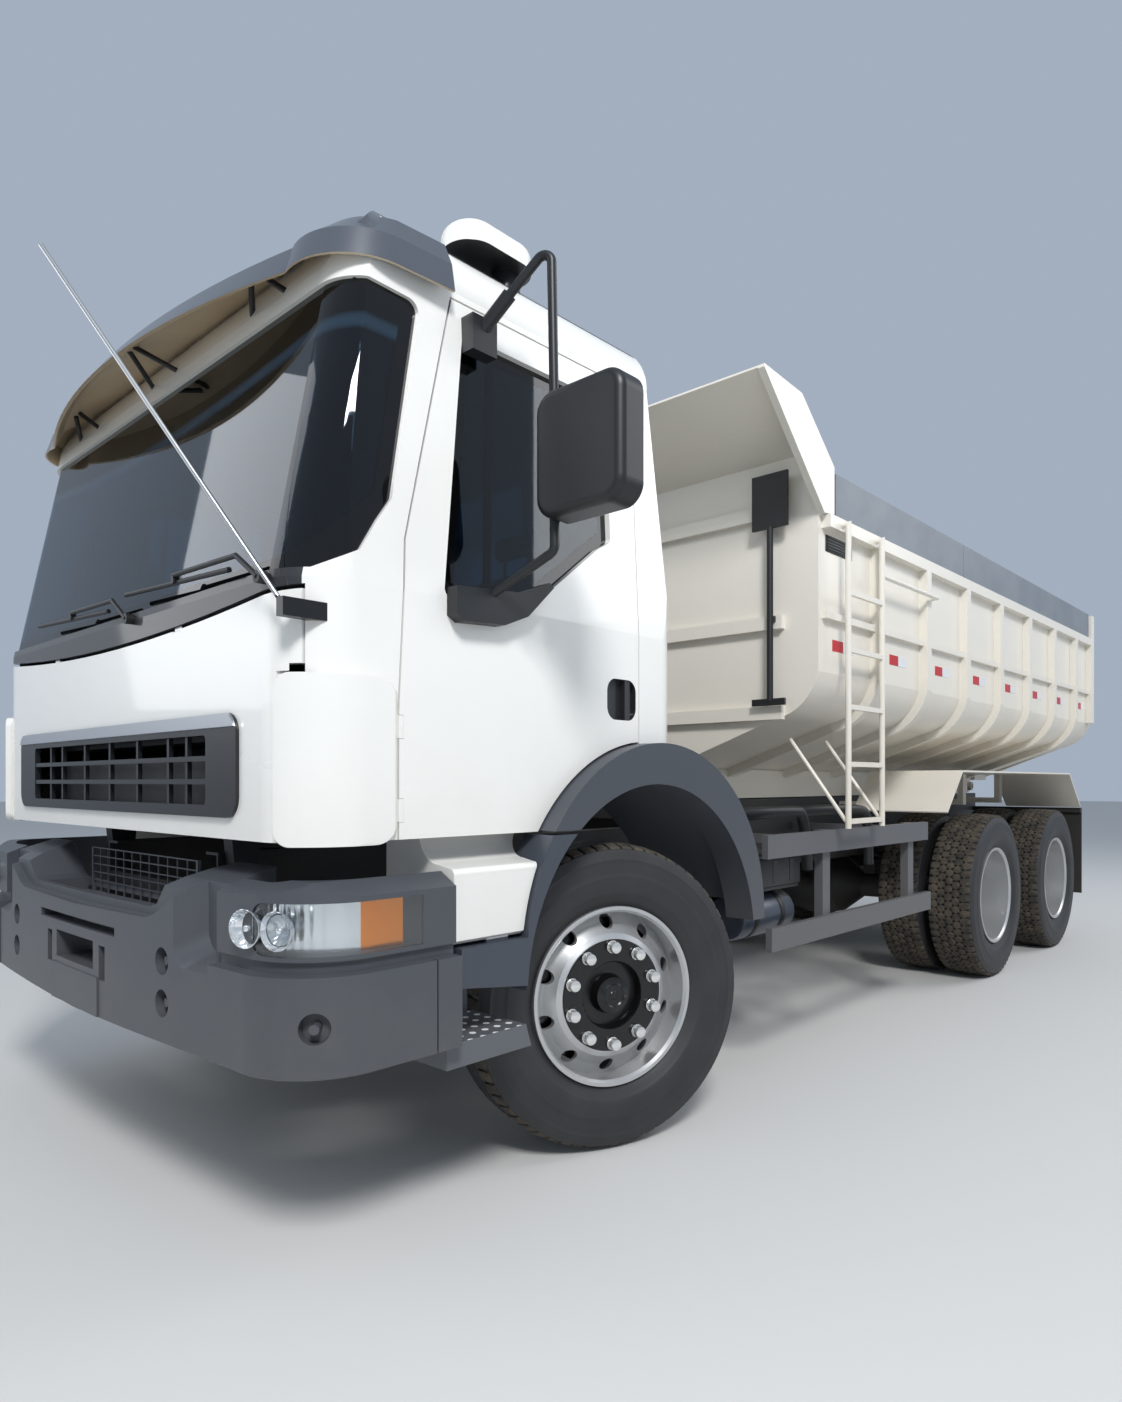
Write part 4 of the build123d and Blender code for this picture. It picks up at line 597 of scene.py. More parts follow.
dome_finish, tree, shader = finish_of("dome_enamel_and_foot", Roughness=0.3, IOR=1.5)
paint(tree, shader, region(tree, (place(tree)[2], None, DOME_FROM)), "#e9e8e3", "#17181a")
grain(tree, shader, 4, 0.04)
print("fronts", grille_finish.name, mirror_finish.name, dome_finish.name)

# %% [markdown]
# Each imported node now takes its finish. A node's mesh stays as the CAD made it, and only the material in
# its slots changes.

# %% Give each node its finish
finish_table = {
    cab_paint: ["cab_body"],
    roof_paint: ["cab_roof"],
    door_paint: ["door_left", "door_right"],
    lid_paint: ["front_lid"],
    body_paint: ["bed_sides", "headboard", "ladder", "tailgate", "mudguards"],
    scoured: ["bed_floor"],
    board_paint: ["side_boards"],
    bumper_plastic: ["bumper", "bumper_ends", "wheel_arches"],
    black_plastic: ["battery_box", "dashboard", "wipers", "shovel", "cab_floor"],
    mirror_finish: ["mirror_left", "mirror_right"],
    visor_acrylic: ["sun_visor"],
    screen_glass: ["cab_glass"],
    door_glass: ["door_glass_left", "door_glass_right"],
    chassis_paint: ["frame", "subframe", "driveline", "springs", "front_axle", "drive_axles", "exhaust",
                    "tail_bar", "knuckle_left", "knuckle_right", "hoist_barrel"],
    guard_paint: ["side_guards"],
    flap_rubber: ["mudflaps"],
    tank_metal: ["fuel_tank"],
    bright_steel: ["hoist_rod"],
    aerial: ["antenna"],
    wheel_lacquer: ["rim_front_left", "rim_front_right", "rims_mid_left", "rims_mid_right", "rims_rear_left",
                    "rims_rear_right"],
    sidewall: ["tyre_front_left", "tyre_front_right", "tyres_mid_left", "tyres_mid_right", "tyres_rear_left",
               "tyres_rear_right"],
    clear_lens: ["headlamps"],
    red_lens: ["tail_lamps"],
    seat_cloth: ["seats"],
    step_finish: ["steps"],
    grille_finish: ["grille"],
    dome_finish: ["kerb_mirror"],
}
for finish, names in finish_table.items():
    for name in names:
        item = bpy.data.objects[name]
        for slot in item.material_slots:
            slot.material = finish

# %% [markdown]
# A few helpers shape the added pieces. A section line is spun round the wheel's axle, as on a lathe. Blocks
# start as a cube or a prism, get their edges bevelled, and are joined into one piece for the part they
# belong to. Each finished piece gets its finish and is hung on the body it rides on.

# %% Helpers for pieces


def only(piece):
    bpy.ops.object.select_all(action="DESELECT")
    piece.select_set(True)
    bpy.context.view_layer.objects.active = piece


def line_piece(name, points):
    """A piece that is only a section line in the XZ plane, ready to be spun."""
    mesh = bpy.data.meshes.new(name)
    mesh.from_pydata([(x, 0, z) for x, z in points], [(i, i + 1) for i in range(len(points) - 1)], [])
    piece = bpy.data.objects.new(name, mesh)
    bpy.context.collection.objects.link(piece)
    return piece


def lathe(name, points, steps):
    """Spins a section, given as distance along the axle and radius, round the X axis."""
    piece = line_piece(name, points)
    only(piece)
    bpy.ops.object.mode_set(mode="EDIT")
    bpy.ops.mesh.select_all(action="SELECT")
    bpy.ops.mesh.spin(steps=steps, angle=math.tau, center=(0, 0, 0), axis=(1, 0, 0))
    bpy.ops.mesh.select_all(action="SELECT")
    bpy.ops.mesh.remove_doubles(threshold=0.00005)
    bpy.ops.mesh.normals_make_consistent(inside=False)
    bpy.ops.object.mode_set(mode="OBJECT")
    return piece


def ring_of(piece, count):
    """Repeats all of a piece's mesh evenly round the X axis."""
    only(piece)
    bpy.ops.object.mode_set(mode="EDIT")
    bpy.ops.mesh.select_all(action="SELECT")
    turn = math.tau * (count - 1) / count
    bpy.ops.mesh.spin(steps=count - 1, angle=turn, dupli=True, center=(0, 0, 0), axis=(1, 0, 0))
    bpy.ops.object.mode_set(mode="OBJECT")
    return piece


def prism(name, sides, radius, low, high, bevel=0.0):
    """A bevelled prism or round bar between two points."""
    low = Vector(low)
    high = Vector(high)
    bpy.ops.object.select_all(action="DESELECT")
    bpy.ops.mesh.primitive_cylinder_add(vertices=sides, radius=radius, depth=(high - low).length)
    piece = bpy.context.object
    piece.name = name
    aim = (high - low).to_track_quat("Z", "Y").to_matrix().to_4x4()
    piece.data.transform(Matrix.Translation((low + high) / 2) @ aim)
    if bevel:
        soften(piece, bevel)
    return piece


def soften(piece, width, segments=2):
    """Bevels a piece's sharp edges."""
    only(piece)
    step = piece.modifiers.new("bevel", "BEVEL")
    step.width = width
    step.segments = segments
    step.limit_method = "ANGLE"
    bpy.ops.object.modifier_apply(modifier=step.name)
    return piece


def bar(name, x, y, z, bevel=0.002, segments=2):
    """A bevelled block between two stations along each axis, y counted from the front axle."""
    bpy.ops.object.select_all(action="DESELECT")
    middle = ((x[0] + x[1]) / 2, (y[0] + y[1]) / 2 + FRONT_AXLE_Y, (z[0] + z[1]) / 2)
    bpy.ops.mesh.primitive_cube_add(size=1, location=middle, scale=(x[1] - x[0], y[1] - y[0], z[1] - z[0]))
    piece = bpy.context.object
    piece.name = name
    bpy.ops.object.transform_apply(location=True, rotation=False, scale=True)
    return soften(piece, bevel, segments) if bevel else piece


def joined(name, pieces):
    """Joins pieces into one, which takes the name."""
    bpy.ops.object.select_all(action="DESELECT")
    for piece in pieces:
        piece.select_set(True)
    bpy.context.view_layer.objects.active = pieces[0]
    if len(pieces) > 1:
        bpy.ops.object.join()
    whole = bpy.context.view_layer.objects.active
    whole.name = name
    whole.data.name = name
    return whole


def settle(piece, finish, body, smooth=40, replaces=()):
    """Gives a piece its finish, smooths it, and says what it rides on and stands for."""
    if finish is not None:
        piece.data.materials.clear()
        piece.data.materials.append(finish)
    only(piece)
    bpy.ops.object.shade_smooth_by_angle(angle=math.radians(smooth))
    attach(piece, body)
    for node in replaces:
        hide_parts(node)
    return piece


# %% [markdown]
# **Wheel places.** Each wheel's joint in the record gives its centre and its axle. The front wheels stand
# steered, so their pieces are made upright at the origin and then carried there by one matrix.

# %% Where each wheel stands


def turned_to(out):
    """The turn that takes the X axis to a level direction and leaves Z upright."""
    up = Vector((0, 0, 1))
    return Matrix((out, up.cross(out), up)).transposed().to_4x4()


wheels = {}
for joint in record["behaviour"]["joints"]:
    if not joint["name"].startswith("roll_"):
        continue
    name = joint["name"][5:]
    side = 1 if name.endswith("left") else -1
    out = (Vector(joint["axis"]) * side).normalized()
    wheels[name] = Matrix.Translation(Vector(joint["pos_m"])) @ turned_to(out)
print("wheels", sorted(wheels))

# %% [markdown]
# **Tyres.** A road tyre is a moulded carcass with a tread of separate blocks. The front pair has three ribs
# between straight grooves, with blocks on both shoulders. The driven ones carry staggered six-sided blocks.
# The section is spun once, and one block is spun round it in copies. The tread's top keeps the CAD solid's
# own radius, and the carcass lies a groove's depth below it.

# %% Tyre section and blocks
TREAD_RADIUS = 0.510
GROOVE_RADIUS = TREAD_RADIUS - 0.013
TREAD_EDGE = 0.104
SHOULDER = (0.1225, 0.489)
BLOCKS_ROUND = 66


def crown(at):
    """The tread's radius at a distance from its middle."""
    return TREAD_RADIUS - 0.005 * (at / 0.1035) ** 2


def wall_points(s):
    """The sidewall from bead to shoulder, with two moulded rings."""
    bead = [(0.1035, 0.2875), (0.104, 0.3015), (0.112, 0.312), (0.121, 0.328), (0.1265, 0.338)]
    inner_ring = [(0.1285, 0.341), (0.1305, 0.345), (0.1345, 0.362), (0.1365, 0.38), (0.1372, 0.397)]
    flank = [(0.1374, 0.402), (0.1358, 0.405), (0.1362, 0.42), (0.1345, 0.44), (0.1325, 0.453)]
    outer_ring = [(0.1335, 0.456), (0.132, 0.46), (0.128, 0.475)]
    return [(s * at, radius) for at, radius in bead + inner_ring + flank + outer_ring]


def carcass_of(name, top, drop, steps):
    """A spun carcass: both walls, and between its shoulders the points of its top."""
    half, radius = SHOULDER
    ends = [(-half, radius), (-TREAD_EDGE, GROOVE_RADIUS - drop)]
    top = ends + top + [(-at, r) for at, r in reversed(ends)]
    carcass = lathe(name, wall_points(-1) + top + wall_points(1)[::-1], steps)
    carcass.data.materials.append(sidewall)
    return carcass


def front_tyre(name):
    top = [(-0.067, GROOVE_RADIUS)]
    for at in (-0.045, 0, 0.045):
        edge = crown(at + 0.017)
        top += [(at - 0.019, GROOVE_RADIUS), (at - 0.0165, edge)]
        top += [(at + 0.0165, edge), (at + 0.019, GROOVE_RADIUS)]
    top.append((0.067, GROOVE_RADIUS))
    carcass = carcass_of(name, top, 0.002, 120)
    blocks = []
    for s in (1, -1):
        block = bar("block", (-0.022, 0.022), (-0.0185, 0.0185), (-0.008, 0.008), 0.0015, 1)
        block.data.transform(Matrix.Translation((0, -FRONT_AXLE_Y, 0)))
        # the outer half of each block bends down over the shoulder
        for vertex in block.data.vertices:
            outer = vertex.co.x * s > 0
            vertex.co.x += s * (0.0925 if outer else 0.0895)
            vertex.co.z += crown(vertex.co.x) - 0.0082 - (0.007 if outer else 0)
            if outer and vertex.co.z < 0.495:
                vertex.co.x += s * 0.011
        blocks.append(ring_of(block, BLOCKS_ROUND))
    shoulder = joined(name + "_blocks", blocks)
    shoulder.data.materials.append(tread_rubber)
    return joined(name, [carcass, shoulder])


def driven_tyre(name):
    carcass = carcass_of(name, [(0.0, GROOVE_RADIUS)], 0.003, 96)
    rows = []
    for index, at in enumerate((-0.085, -0.0425, 0, 0.0425, 0.085)):
        tip = crown(at)
        block = prism("block", 6, 0.0255, (at, 0, tip - 0.016), (at, 0, tip), 0.002)
        if abs(at) > 0.08:
            # the shoulder's blocks reach down the side
            for vertex in block.data.vertices:
                if abs(vertex.co.x) > abs(at) + 0.006:
                    vertex.co.x += math.copysign(0.012, at)
                    vertex.co.z -= 0.004
        if index % 2:
            block.data.transform(Matrix.Rotation(math.pi / BLOCKS_ROUND, 4, "X"))
        rows.append(ring_of(block, BLOCKS_ROUND))
    blocks = joined(name + "_blocks", rows)
    blocks.data.materials.append(tread_rubber)
    return joined(name, [carcass, blocks])


def carried(piece, name, matrix):
    """A copy of a piece with its own mesh, carried by a matrix."""
    twin = piece.copy()
    twin.data = piece.data.copy()
    twin.name = name
    twin.data.name = name
    bpy.context.collection.objects.link(twin)
    twin.data.transform(matrix)
    return twin


# %% [markdown]
# **Hubs.** Inside each front rim sits a black ring round a deep recess, with the hub's own cap in the middle.
# Ring, recess and cap are one spun shell, a few millimetres proud of the rim's solid, and behind the disc's
# hand holes a brake drum closes the view. Ten nuts with round caps stand on the ring. The driven wheels show
# the same nuts on the bare silver disc.

# %% Hub shells and nuts
NUTS = 10
FRONT_NUTS = (0.1, 0.1615)
REAR_NUTS = (0.017, 0.15)


def nut(name, base, radius):
    """A washer, a six-sided nut and a round cap with a domed end, standing out along the axle."""
    washer = prism(name, 20, 0.0215, (base - 0.004, 0, radius), (base + 0.002, 0, radius))
    flats = prism("flats", 6, 0.0205, (base, 0, radius), (base + 0.009, 0, radius), 0.0012)
    cap = prism("cap", 24, 0.0198, (base + 0.008, 0, radius), (base + 0.031, 0, radius), 0.007)
    return joined(name, [washer, flats, cap])


def front_hub(name):
    ring = [(0.0975, 0.1868), (0.0998, 0.1862), (0.1012, 0.185), (0.1012, 0.114), (0.0965, 0.1105)]
    recess = [(0.0645, 0.1065), (0.0645, 0.0675), (0.099, 0.0605), (0.1025, 0.0595)]
    cap = [(0.1085, 0.043), (0.1115, 0.038), (0.1078, 0.034), (0.1078, 0.015), (0.1105, 0.012), (0.1105, 0.0)]
    drum = [(0.036, 0.14), (0.030, 0.2), (0.010, 0.25), (-0.10, 0.25)]
    return joined(name, [lathe(name, ring + recess + cap, 72), lathe("drum", drum, 72)])


front_master = front_tyre("front_master")
driven_master = driven_tyre("driven_master")
hub_master = front_hub("hub_master")
nut_master = ring_of(nut("nut_master", *FRONT_NUTS), NUTS)
rear_nut_master = ring_of(nut("rear_nut_master", *REAR_NUTS), NUTS)
print("tyre faces", len(front_master.data.polygons), len(driven_master.data.polygons), "nuts", NUTS)

# %% [markdown]
# The masters are carried to the wheels. A driven wheel has two tyres side by side, which turn as one.

# %% Tyres, hubs and nuts on every wheel
TWIN_OFFSET = 0.155
for side in ("left", "right"):
    wheel = f"front_{side}"
    tyre = carried(front_master, f"treaded_tyre_{wheel}", wheels[wheel])
    settle(tyre, None, f"wheel_{wheel}", 35, [f"tyre_{wheel}"])
    hub = carried(hub_master, f"hub_shell_{wheel}", wheels[wheel])
    settle(hub, hub_paint, f"wheel_{wheel}", 30)
    nuts = carried(nut_master, f"wheel_nuts_{wheel}", wheels[wheel])
    settle(nuts, nut_chrome, f"wheel_{wheel}", 35)
    for axle in ("mid", "rear"):
        wheel = f"{axle}_{side}"
        pair = []
        for at in (TWIN_OFFSET, -TWIN_OFFSET):
            pair.append(carried(driven_master, "half", wheels[wheel] @ Matrix.Translation((at, 0, 0))))
        tyres = joined(f"treaded_tyres_{wheel}", pair)
        settle(tyres, None, f"wheel_{wheel}", 35, [f"tyres_{wheel}"])
        nuts = carried(rear_nut_master, f"wheel_nuts_{wheel}", wheels[wheel])
        settle(nuts, nut_chrome, f"wheel_{wheel}", 35)
for master in (front_master, driven_master, hub_master, nut_master, rear_nut_master):
    bpy.data.objects.remove(master)

# %% [markdown]
# **Headlamps.** The real lamp is a thin clear lens in front of bright bowls. The solid in the CAD model is
# one block, so it is replaced: its outward faces, copied and given a wall, are the lens, and the same faces
# moved back are the fluted reflector, with two turned bowls set in it. The outer part is the amber signal.

# %% Headlamp lens, reflector and bowls
LAMP_OUT = 0.72
LAMP_AHEAD = -0.69
LAMP_DEPTH = 0.05
LAMP_HEIGHT = 0.8745
LAMP_WALL = 0.003
BOWL_RADIUS = 0.047


def lamp_faces(name):
    """A merged copy of the lamps' faces that look out and ahead, on both sides of the truck."""
    twin = bpy.data.objects["headlamps"].copy()
    twin.data = bpy.data.objects["headlamps"].data.copy()
    twin.name = name
    bpy.context.collection.objects.link(twin)
    twin.hide_viewport = twin.hide_render = False
    shape = bmesh.new()
    shape.from_mesh(twin.data)
    bmesh.ops.remove_doubles(shape, verts=shape.verts, dist=0.0002)
    away = []
    for face in shape.faces:
        side = 1 if face.calc_center_median().x > 0 else -1
        if face.normal.dot(Vector((LAMP_OUT * side, LAMP_AHEAD, 0))) < 0.55:
            away.append(face)
    bmesh.ops.delete(shape, geom=away, context="FACES")
    shape.to_mesh(twin.data)
    shape.free()
    return twin


def pushed(piece, distance):
    """Moves a piece's points back into the truck on both of its sides."""
    for vertex in piece.data.vertices:
        side = 1 if vertex.co.x > 0 else -1
        vertex.co.x -= side * distance * LAMP_OUT
        vertex.co.y -= distance * LAMP_AHEAD
    return piece


def walled(piece, thickness):
    """Gives an open sheet a thickness, inwards from its face."""
    only(piece)
    step = piece.modifiers.new("wall", "SOLIDIFY")
    step.thickness = thickness
    step.offset = -1
    bpy.ops.object.modifier_apply(modifier=step.name)
    return piece


lens = walled(lamp_faces("headlamp_lenses"), LAMP_WALL)
inside = [walled(pushed(lamp_faces("back"), LAMP_DEPTH), LAMP_WALL)]
# a bowl's depth, and the share of its radius there
section = [(0.045, 1), (0.03, 0.9), (0.012, 0.62), (0.002, 0.3)]
for side in (1, -1):
    for x, station in ((1.008, -1.30), (1.098, -1.268)):
        bowl = lathe("bowl", [(depth, BOWL_RADIUS * share) for depth, share in section] + [(0, 0.0001)], 32)
        middle = Vector((side * x, station + FRONT_AXLE_Y, LAMP_HEIGHT))
        bowl.data.transform(Matrix.Translation(middle) @ turned_to(Vector((0.35 * side, -1, 0)).normalized()))
        inside.append(walled(bowl, 0.0015))
for side in (1, -1):
    for x, station in ((1.012, -1.318), (1.105, -1.285)):
        foot = Vector((side * x, station + FRONT_AXLE_Y, LAMP_HEIGHT))
        inside.append(prism("bulb", 16, 0.008, foot, foot + Vector((0.008 * side, -0.02, 0)), 0.003))
settle(lens, clear_lens, "chassis", 40, ["headlamps"])
settle(joined("headlamp_reflectors", inside), reflector, "chassis", 50)
print("parts behind the lenses", len(inside))

# %% [markdown]
# **Reflective tape.** Red and white retroreflective strips are stuck along each side, one in every bay
# between the ribs. Each is two thin plates, red and silver white.

# %% Tape strips
RIB_FIRST = 1.720
RIB_PITCH = 0.597
SKIN_X = 1.2152
TAPE_HEIGHT = (1.80, 1.85)
TAPE_LENGTH = 0.105
TAPE_GAP = 0.001
strips = {"red": [], "white": []}
for s in (1, -1):
    outer = sorted((s * (SKIN_X - 0.001), s * (SKIN_X + 0.0012)))
    for bay in range(8):
        # the first bay is short, so its strip starts by the headboard
        start = RIB_FIRST + RIB_PITCH * (bay - 1) + 0.19 if bay else 1.30
        white = (start + TAPE_LENGTH + TAPE_GAP, start + 2 * TAPE_LENGTH)
        strips["red"].append(bar("strip", outer, (start, start + TAPE_LENGTH), TAPE_HEIGHT, 0.0004, 1))
        strips["white"].append(bar("strip", outer, white, TAPE_HEIGHT, 0.0004, 1))
settle(joined("side_tape_red", strips["red"]), tape_red, "bed")
settle(joined("side_tape_white", strips["white"]), tape_white, "bed")
print("tape strips", len(strips["red"]) * 2)

# %% [markdown]
# **Front vent.** The first bay of each side has a dark louvred vent under the top rail. It is a shallow
# frame with five slats.

# %% Louvred vents
SLAT_PITCH = 0.0125
slats = []
for s in (1, -1):
    frame_x = sorted((s * (SKIN_X - 0.002), s * (SKIN_X + 0.004)))
    slat_x = sorted((s * SKIN_X, s * (SKIN_X + 0.0075)))
    slats.append(bar("vent", frame_x, (1.235, 1.49), (2.228, 2.30), 0.002))
    for n in range(5):
        z = 2.238 + SLAT_PITCH * n
        slats.append(bar("vent", slat_x, (1.245, 1.48), (z, z + 0.005), 0.001, 1))
settle(joined("side_vents", slats), black_plastic, "bed")
print("vent parts", len(slats))

# %% [markdown]
# **Seats.** Each seat is a foam pad and a foam back in woven cloth, on a moulded base. The pads start as
# blocks with rounded corners. They are remeshed and blown up a little as cloth under pressure, which crowns
# their faces and pulls the edges in, as foam under a sewn cover does.

# %% Padded seats
VOXEL = 0.016
PRESSURE = 4
CLOTH_FRAMES = 15


def swollen(piece, most):
    """Blows a block up as cloth under pressure, and lets no point move further than most."""
    only(piece)
    step = piece.modifiers.new("remesh", "REMESH")
    step.mode = "VOXEL"
    step.voxel_size = VOXEL
    bpy.ops.object.modifier_apply(modifier=step.name)
    rest = [vertex.co.copy() for vertex in piece.data.vertices]
    step = piece.modifiers.new("cloth", "CLOTH")
    step.settings.use_pressure = True
    step.settings.uniform_pressure_force = PRESSURE
    step.settings.effector_weights.gravity = 0
    for at in range(CLOTH_FRAMES):
        bpy.context.scene.frame_set(at + 1)
    bpy.ops.object.modifier_apply(modifier=step.name)
    bpy.context.scene.frame_set(1)
    for vertex, old in zip(piece.data.vertices, rest):
        gap = vertex.co - old
        if gap.length > most:
            vertex.co = old + gap.normalized() * most
    step = piece.modifiers.new("smooth", "SUBSURF")
    step.levels = step.render_levels = 1
    bpy.ops.object.modifier_apply(modifier=step.name)


def pad(name, x, y, z, lean=0.0, most=0.02):
    """A padded block between two stations along each axis, leaning back by some degrees about its foot."""
    piece = bar(name, x, y, z, 0.045, 4)
    foot = Vector(((x[0] + x[1]) / 2, (y[0] + y[1]) / 2 + FRONT_AXLE_Y, z[0]))
    turn = Matrix.Rotation(math.radians(-lean), 4, "X")
    piece.data.transform(Matrix.Translation(foot) @ turn @ Matrix.Translation(-foot))
    swollen(piece, most)
    return piece


def across(middle, half):
    """The two ends of a width about a middle."""
    return (middle - half, middle + half)


soft = []
hard = []
for middle in (-0.62, 0.62):
    soft.append(pad("seat_pad", across(middle, 0.235), (-0.575, -0.10), (1.395, 1.485)))
    soft.append(pad("seat_back", across(middle, 0.225), (-0.145, -0.045), (1.52, 2.02), 6))
    soft.append(pad("head_rest", across(middle, 0.13), (-0.075, -0.015), (2.06, 2.155), 4, 0.01))
    hard.append(bar("seat_base", across(middle, 0.25), (-0.60, -0.04), (1.2905, 1.385), 0.02, 3))
    for x in across(middle, 0.07):
        foot = (x, -0.055 + FRONT_AXLE_Y, 1.99)
        hard.append(prism("post", 12, 0.007, foot, (x, -0.045 + FRONT_AXLE_Y, 2.08)))
cushions = joined("seat_cushions", soft)
settle(cushions, seat_cloth, "cab", 60, ["seats"])
settle(joined("seat_bases", hard), black_plastic, "cab")
print("seat vertices", len(cushions.data.vertices))

# %% [markdown]
# **Battery box and air tank.** Behind the left front wheel a battery box with an overhanging lid sits over a
# round air tank with two straps. Together they fill the space of the CAD model's one block.

# %% Box over a strapped tank
TANK_X = 1.018
TANK_Z = 0.662
STRAP_WIDTH = 0.032
box_parts = [
    bar("box", (0.522, 1.128), (0.742, 1.178), (0.785, 0.906), 0.008),
    bar("lid", (0.52, 1.13), (0.74, 1.18), (0.906, 0.93), 0.006),
    bar("shelf", (0.52, 1.12), (0.75, 1.17), (0.77, 0.785), 0.003),
    bar("inner_box", (0.52, 0.90), (0.76, 1.16), (0.56, 0.77), 0.01),
    bar("box_arm", (0.43, 0.53), (0.90, 0.98), (0.78, 0.86), 0.003),
]


def along_tank(name, radius, first, last, bevel):
    """A round length of the air tank, between two stations."""
    ends = [(TANK_X, station + FRONT_AXLE_Y, TANK_Z) for station in (first, last)]
    return prism(name, 40, radius, *ends, bevel)


for start in (0.83, 1.04):
    end = start + STRAP_WIDTH
    box_parts.append(along_tank("strap", 0.0965, start, end, 0.0015))
    box_parts.append(bar("hanger", across(TANK_X, 0.012), (start, end), (0.74, 0.775), 0.002))
for start in (0.80, 0.94, 1.08):
    box_parts.append(bar("rib", (1.126, 1.1295), (start, start + 0.03), (0.80, 0.895), 0.001, 1))
box = joined("battery_box_and_straps", box_parts)
air_tank = along_tank("air_tank", 0.0925, 0.745, 1.172, 0.022)
settle(box, black_plastic, "chassis", 40, ["battery_box"])
settle(air_tank, grey_paint_with_painted_sky, "chassis", 40, ["battery_box"])
print("box parts", len(box_parts))

# %% [markdown]
# **Hoses.** Two thick black hoses come out from beside the frame and bend down inside the side guard. Only
# the stretch that shows over the guard is modelled, so their ends join nothing.

# %% Hoses over the side guard
HOSE_RADIUS = 0.026


def tube(name, points, radius):
    """A round hose through points given as side, station and height."""
    curve = bpy.data.curves.new(name, "CURVE")
    curve.dimensions = "3D"
    curve.bevel_depth = radius
    curve.bevel_resolution = 4
    curve.resolution_u = 8
    curve.use_fill_caps = True
    line = curve.splines.new("NURBS")
    line.points.add(len(points) - 1)
    for point, (x, station, z) in zip(line.points, points):
        point.co = (x, station + FRONT_AXLE_Y, z, 1)
    line.order_u = 3
    line.use_endpoint_u = True
    piece = bpy.data.objects.new(name, curve)
    bpy.context.collection.objects.link(piece)
    only(piece)
    bpy.ops.object.convert(target="MESH")
    return bpy.context.object


front_route = [(0.62, 0.95, 1.03), (0.80, 1.0, 1.075), (0.92, 1.15, 1.085), (0.95, 1.42, 1.085)]
front_route += [(0.95, 1.56, 1.08), (0.95, 1.58, 0.80)]
rear_route = [(0.46, 1.55, 1.03), (0.80, 1.62, 1.075), (0.94, 1.90, 1.085), (0.95, 2.16, 1.08)]
rear_route += [(0.95, 2.26, 1.05), (0.95, 2.27, 0.78)]
hoses = [tube("hose", route, HOSE_RADIUS) for route in (front_route, rear_route)]
settle(joined("side_hoses", hoses), black_plastic, "chassis", 50)
print("hoses", len(hoses))

# %% [markdown]
# **Ladder braces.** The ladder's foot hangs free below the bed's turned-in side, so a brace rises from each
# stile towards the bed's underside. It stops 80 mm short of it.

# %% Braces at the ladder's foot
braces = []
for station in (1.31, 1.66):
    y = station + FRONT_AXLE_Y
    braces.append(prism("brace", 12, 0.009, (1.275, y, 1.05), (1.005, y, 1.42), 0.001))
settle(joined("ladder_braces", braces), body_paint, "bed")
print("braces", len(braces))

# %% [markdown]
# **Visor stays.** Three pairs of black stays spread from the visor's underside to small feet on the cab's
# brow. The CAD's own stays are grey as the visor, so each gets a black sleeve.

# %% Sleeves on the stays
OUTER_STAY = 0.690
stays = []
for x in (-OUTER_STAY, 0, OUTER_STAY):
    for s in (1, -1):
        # the visor's front edge is swept back towards its ends
        station = -1.205 + 0.065 * (x / OUTER_STAY) ** 2
        front = Vector((x + s * 0.02, station + FRONT_AXLE_Y, 2.640))
        back = Vector((x + s * 0.095, -1.095 + FRONT_AXLE_Y, 2.575))
        stays.append(prism("stay", 12, 0.0085, front, back, 0.001))
        stays.append(prism("stay_foot", 16, 0.017, back, back + Vector((0, 0.02, -0.012)), 0.003))
settle(joined("visor_stays", stays), black_plastic, "cab", 40)
print("stay parts", len(stays))

# %% [markdown]
# **Fuel tank.** The rolled tank on the right side hangs in two straps and has a round filler cap.

# %% Straps and filler cap
NECK_TOP = 1.0
straps = []
for start in (1.46, 2.08):
    straps.append(bar("tank_strap", (-1.1225, -0.45), (start, start + 0.055), (0.4878, 0.9925), 0.09, 6))
settle(joined("fuel_tank_straps", straps), chassis_paint, "chassis")
filler = (-0.98, 1.72 + FRONT_AXLE_Y)
neck = prism("neck", 32, 0.036, (*filler, 0.985), (*filler, NECK_TOP), 0.001)
cap = prism("cap", 24, 0.043, (*filler, NECK_TOP), (*filler, 1.03), 0.006)
settle(joined("filler_cap", [neck, cap]), black_plastic, "chassis")
print("tank straps", len(straps))

# %% [markdown]
# **Tail.** Red and white tape runs across the tail bar, with a blank number plate above it.

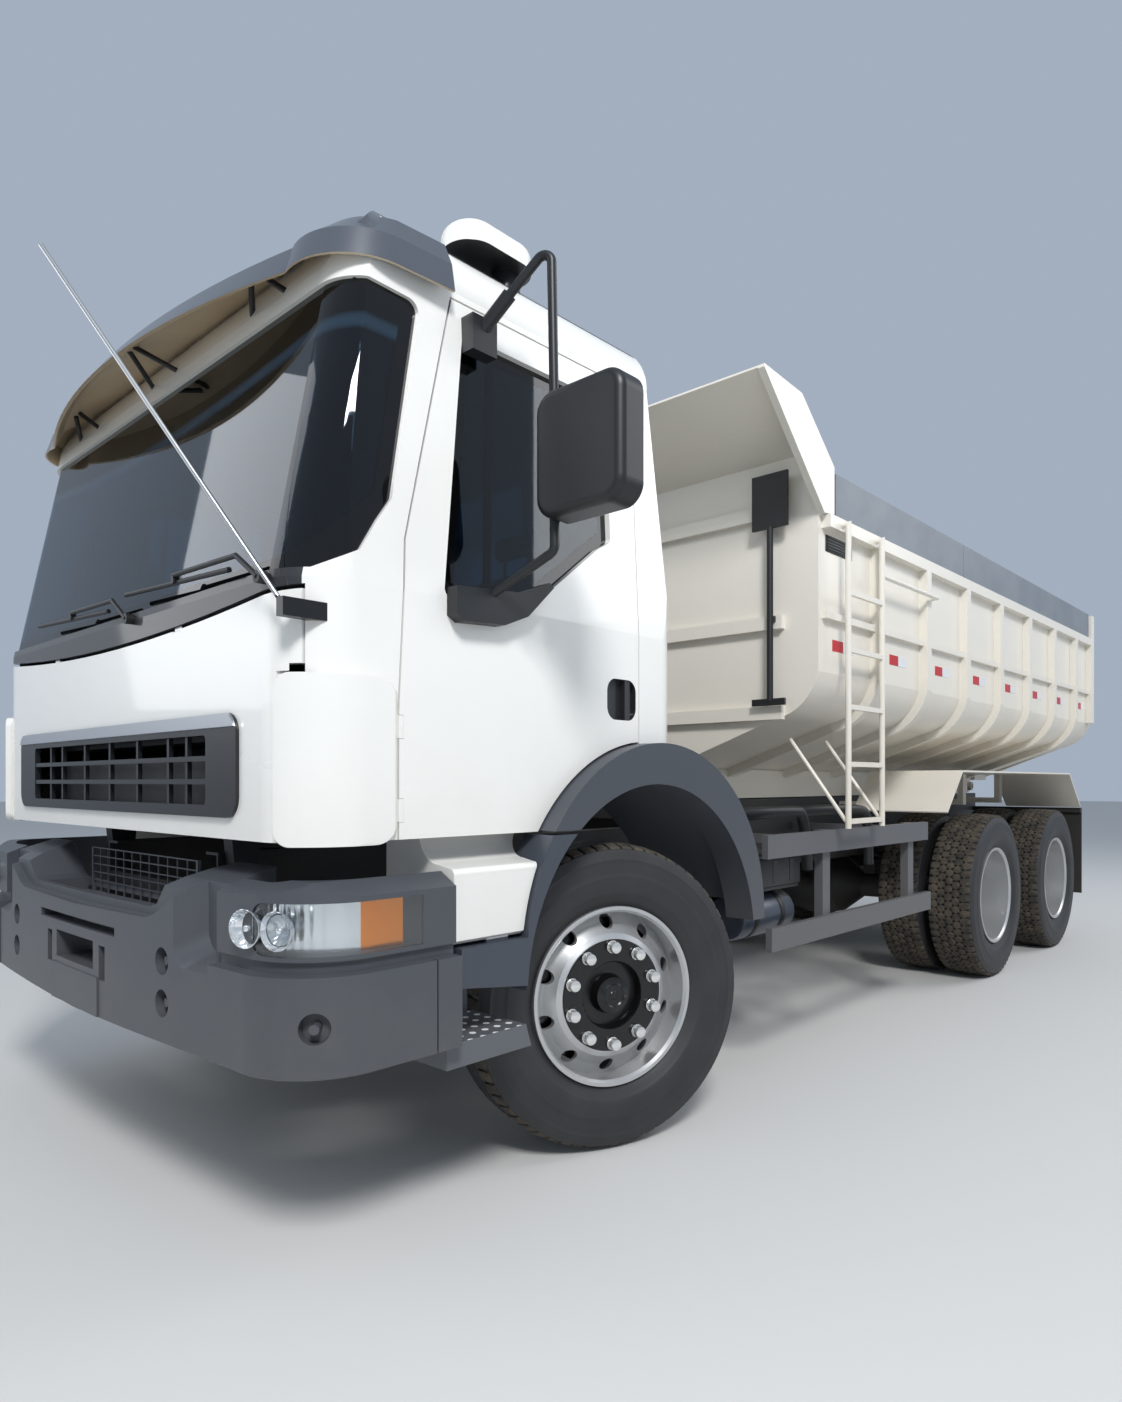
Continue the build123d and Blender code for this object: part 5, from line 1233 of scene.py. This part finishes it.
# %% Tail tape and blank plate
TAIL_FACE = 5.6995
TAIL_TAPE = 0.14
tail = {"red": [], "white": []}
for n in range(8):
    start = -1.12 + 2 * TAIL_TAPE * n
    middle = start + TAIL_TAPE
    for colour, ends in (("red", (start, middle)), ("white", (middle, start + 2 * TAIL_TAPE))):
        tail[colour].append(bar("tail_tape", ends, (TAIL_FACE, 5.7012), (0.507, 0.553), 0.0003, 1))
settle(joined("tail_tape_red", tail["red"]), tape_red, "chassis")
settle(joined("tail_tape_white", tail["white"]), tape_white, "chassis")
plate = bar("blank_plate", (-0.2, 0.2), (TAIL_FACE, 5.7025), (0.645, 0.775), 0.001, 1)
settle(plate, tape_white, "chassis")

# %% [markdown]
# **Studio.** The floor is a wide pale sheet, and three soft lamps stand round the truck. The strongest and
# smallest is ahead on its left, where the photograph's sun is, and two wide ones open the shadows.

# %% Floor, backdrop and lamps
bpy.ops.mesh.primitive_plane_add(size=120, location=(0, 0, 0))
floor = bpy.context.object
floor.name = "studio_floor"
floor_paint, tree, shader = finish_of("studio_floor", Roughness=0.9)
shader.inputs["Base Color"].default_value = linear("#d0cfcc")
floor.data.materials.append(floor_paint)
world = bpy.data.worlds.new("studio")
bpy.context.scene.world = world
world.use_nodes = True
sky = world.node_tree.nodes["Background"]
sky.inputs["Color"].default_value = linear("#cddcef")
sky.inputs["Strength"].default_value = 0.6
for name, spot_at, aim, size, power in (
    ("key", (7.5, -7.5, 9.0), (0, -1, 1.5), 2.4, 1100),
    ("fill", (-6, -8, 5), (0, 0, 1.5), 6.0, 180),
    ("rear", (6, 7, 7), (0, 2, 1), 6.0, 330),
):
    light = bpy.data.lights.new(name, "AREA")
    light.energy = power
    light.size = size
    lamp = bpy.data.objects.new(name, light)
    bpy.context.collection.objects.link(lamp)
    lamp.location = spot_at
    lamp.rotation_euler = (Vector(aim) - Vector(spot_at)).to_track_quat("-Z", "Y").to_euler()
bpy.context.scene.view_settings.view_transform = "Standard"
bpy.ops.object.select_all(action="DESELECT")
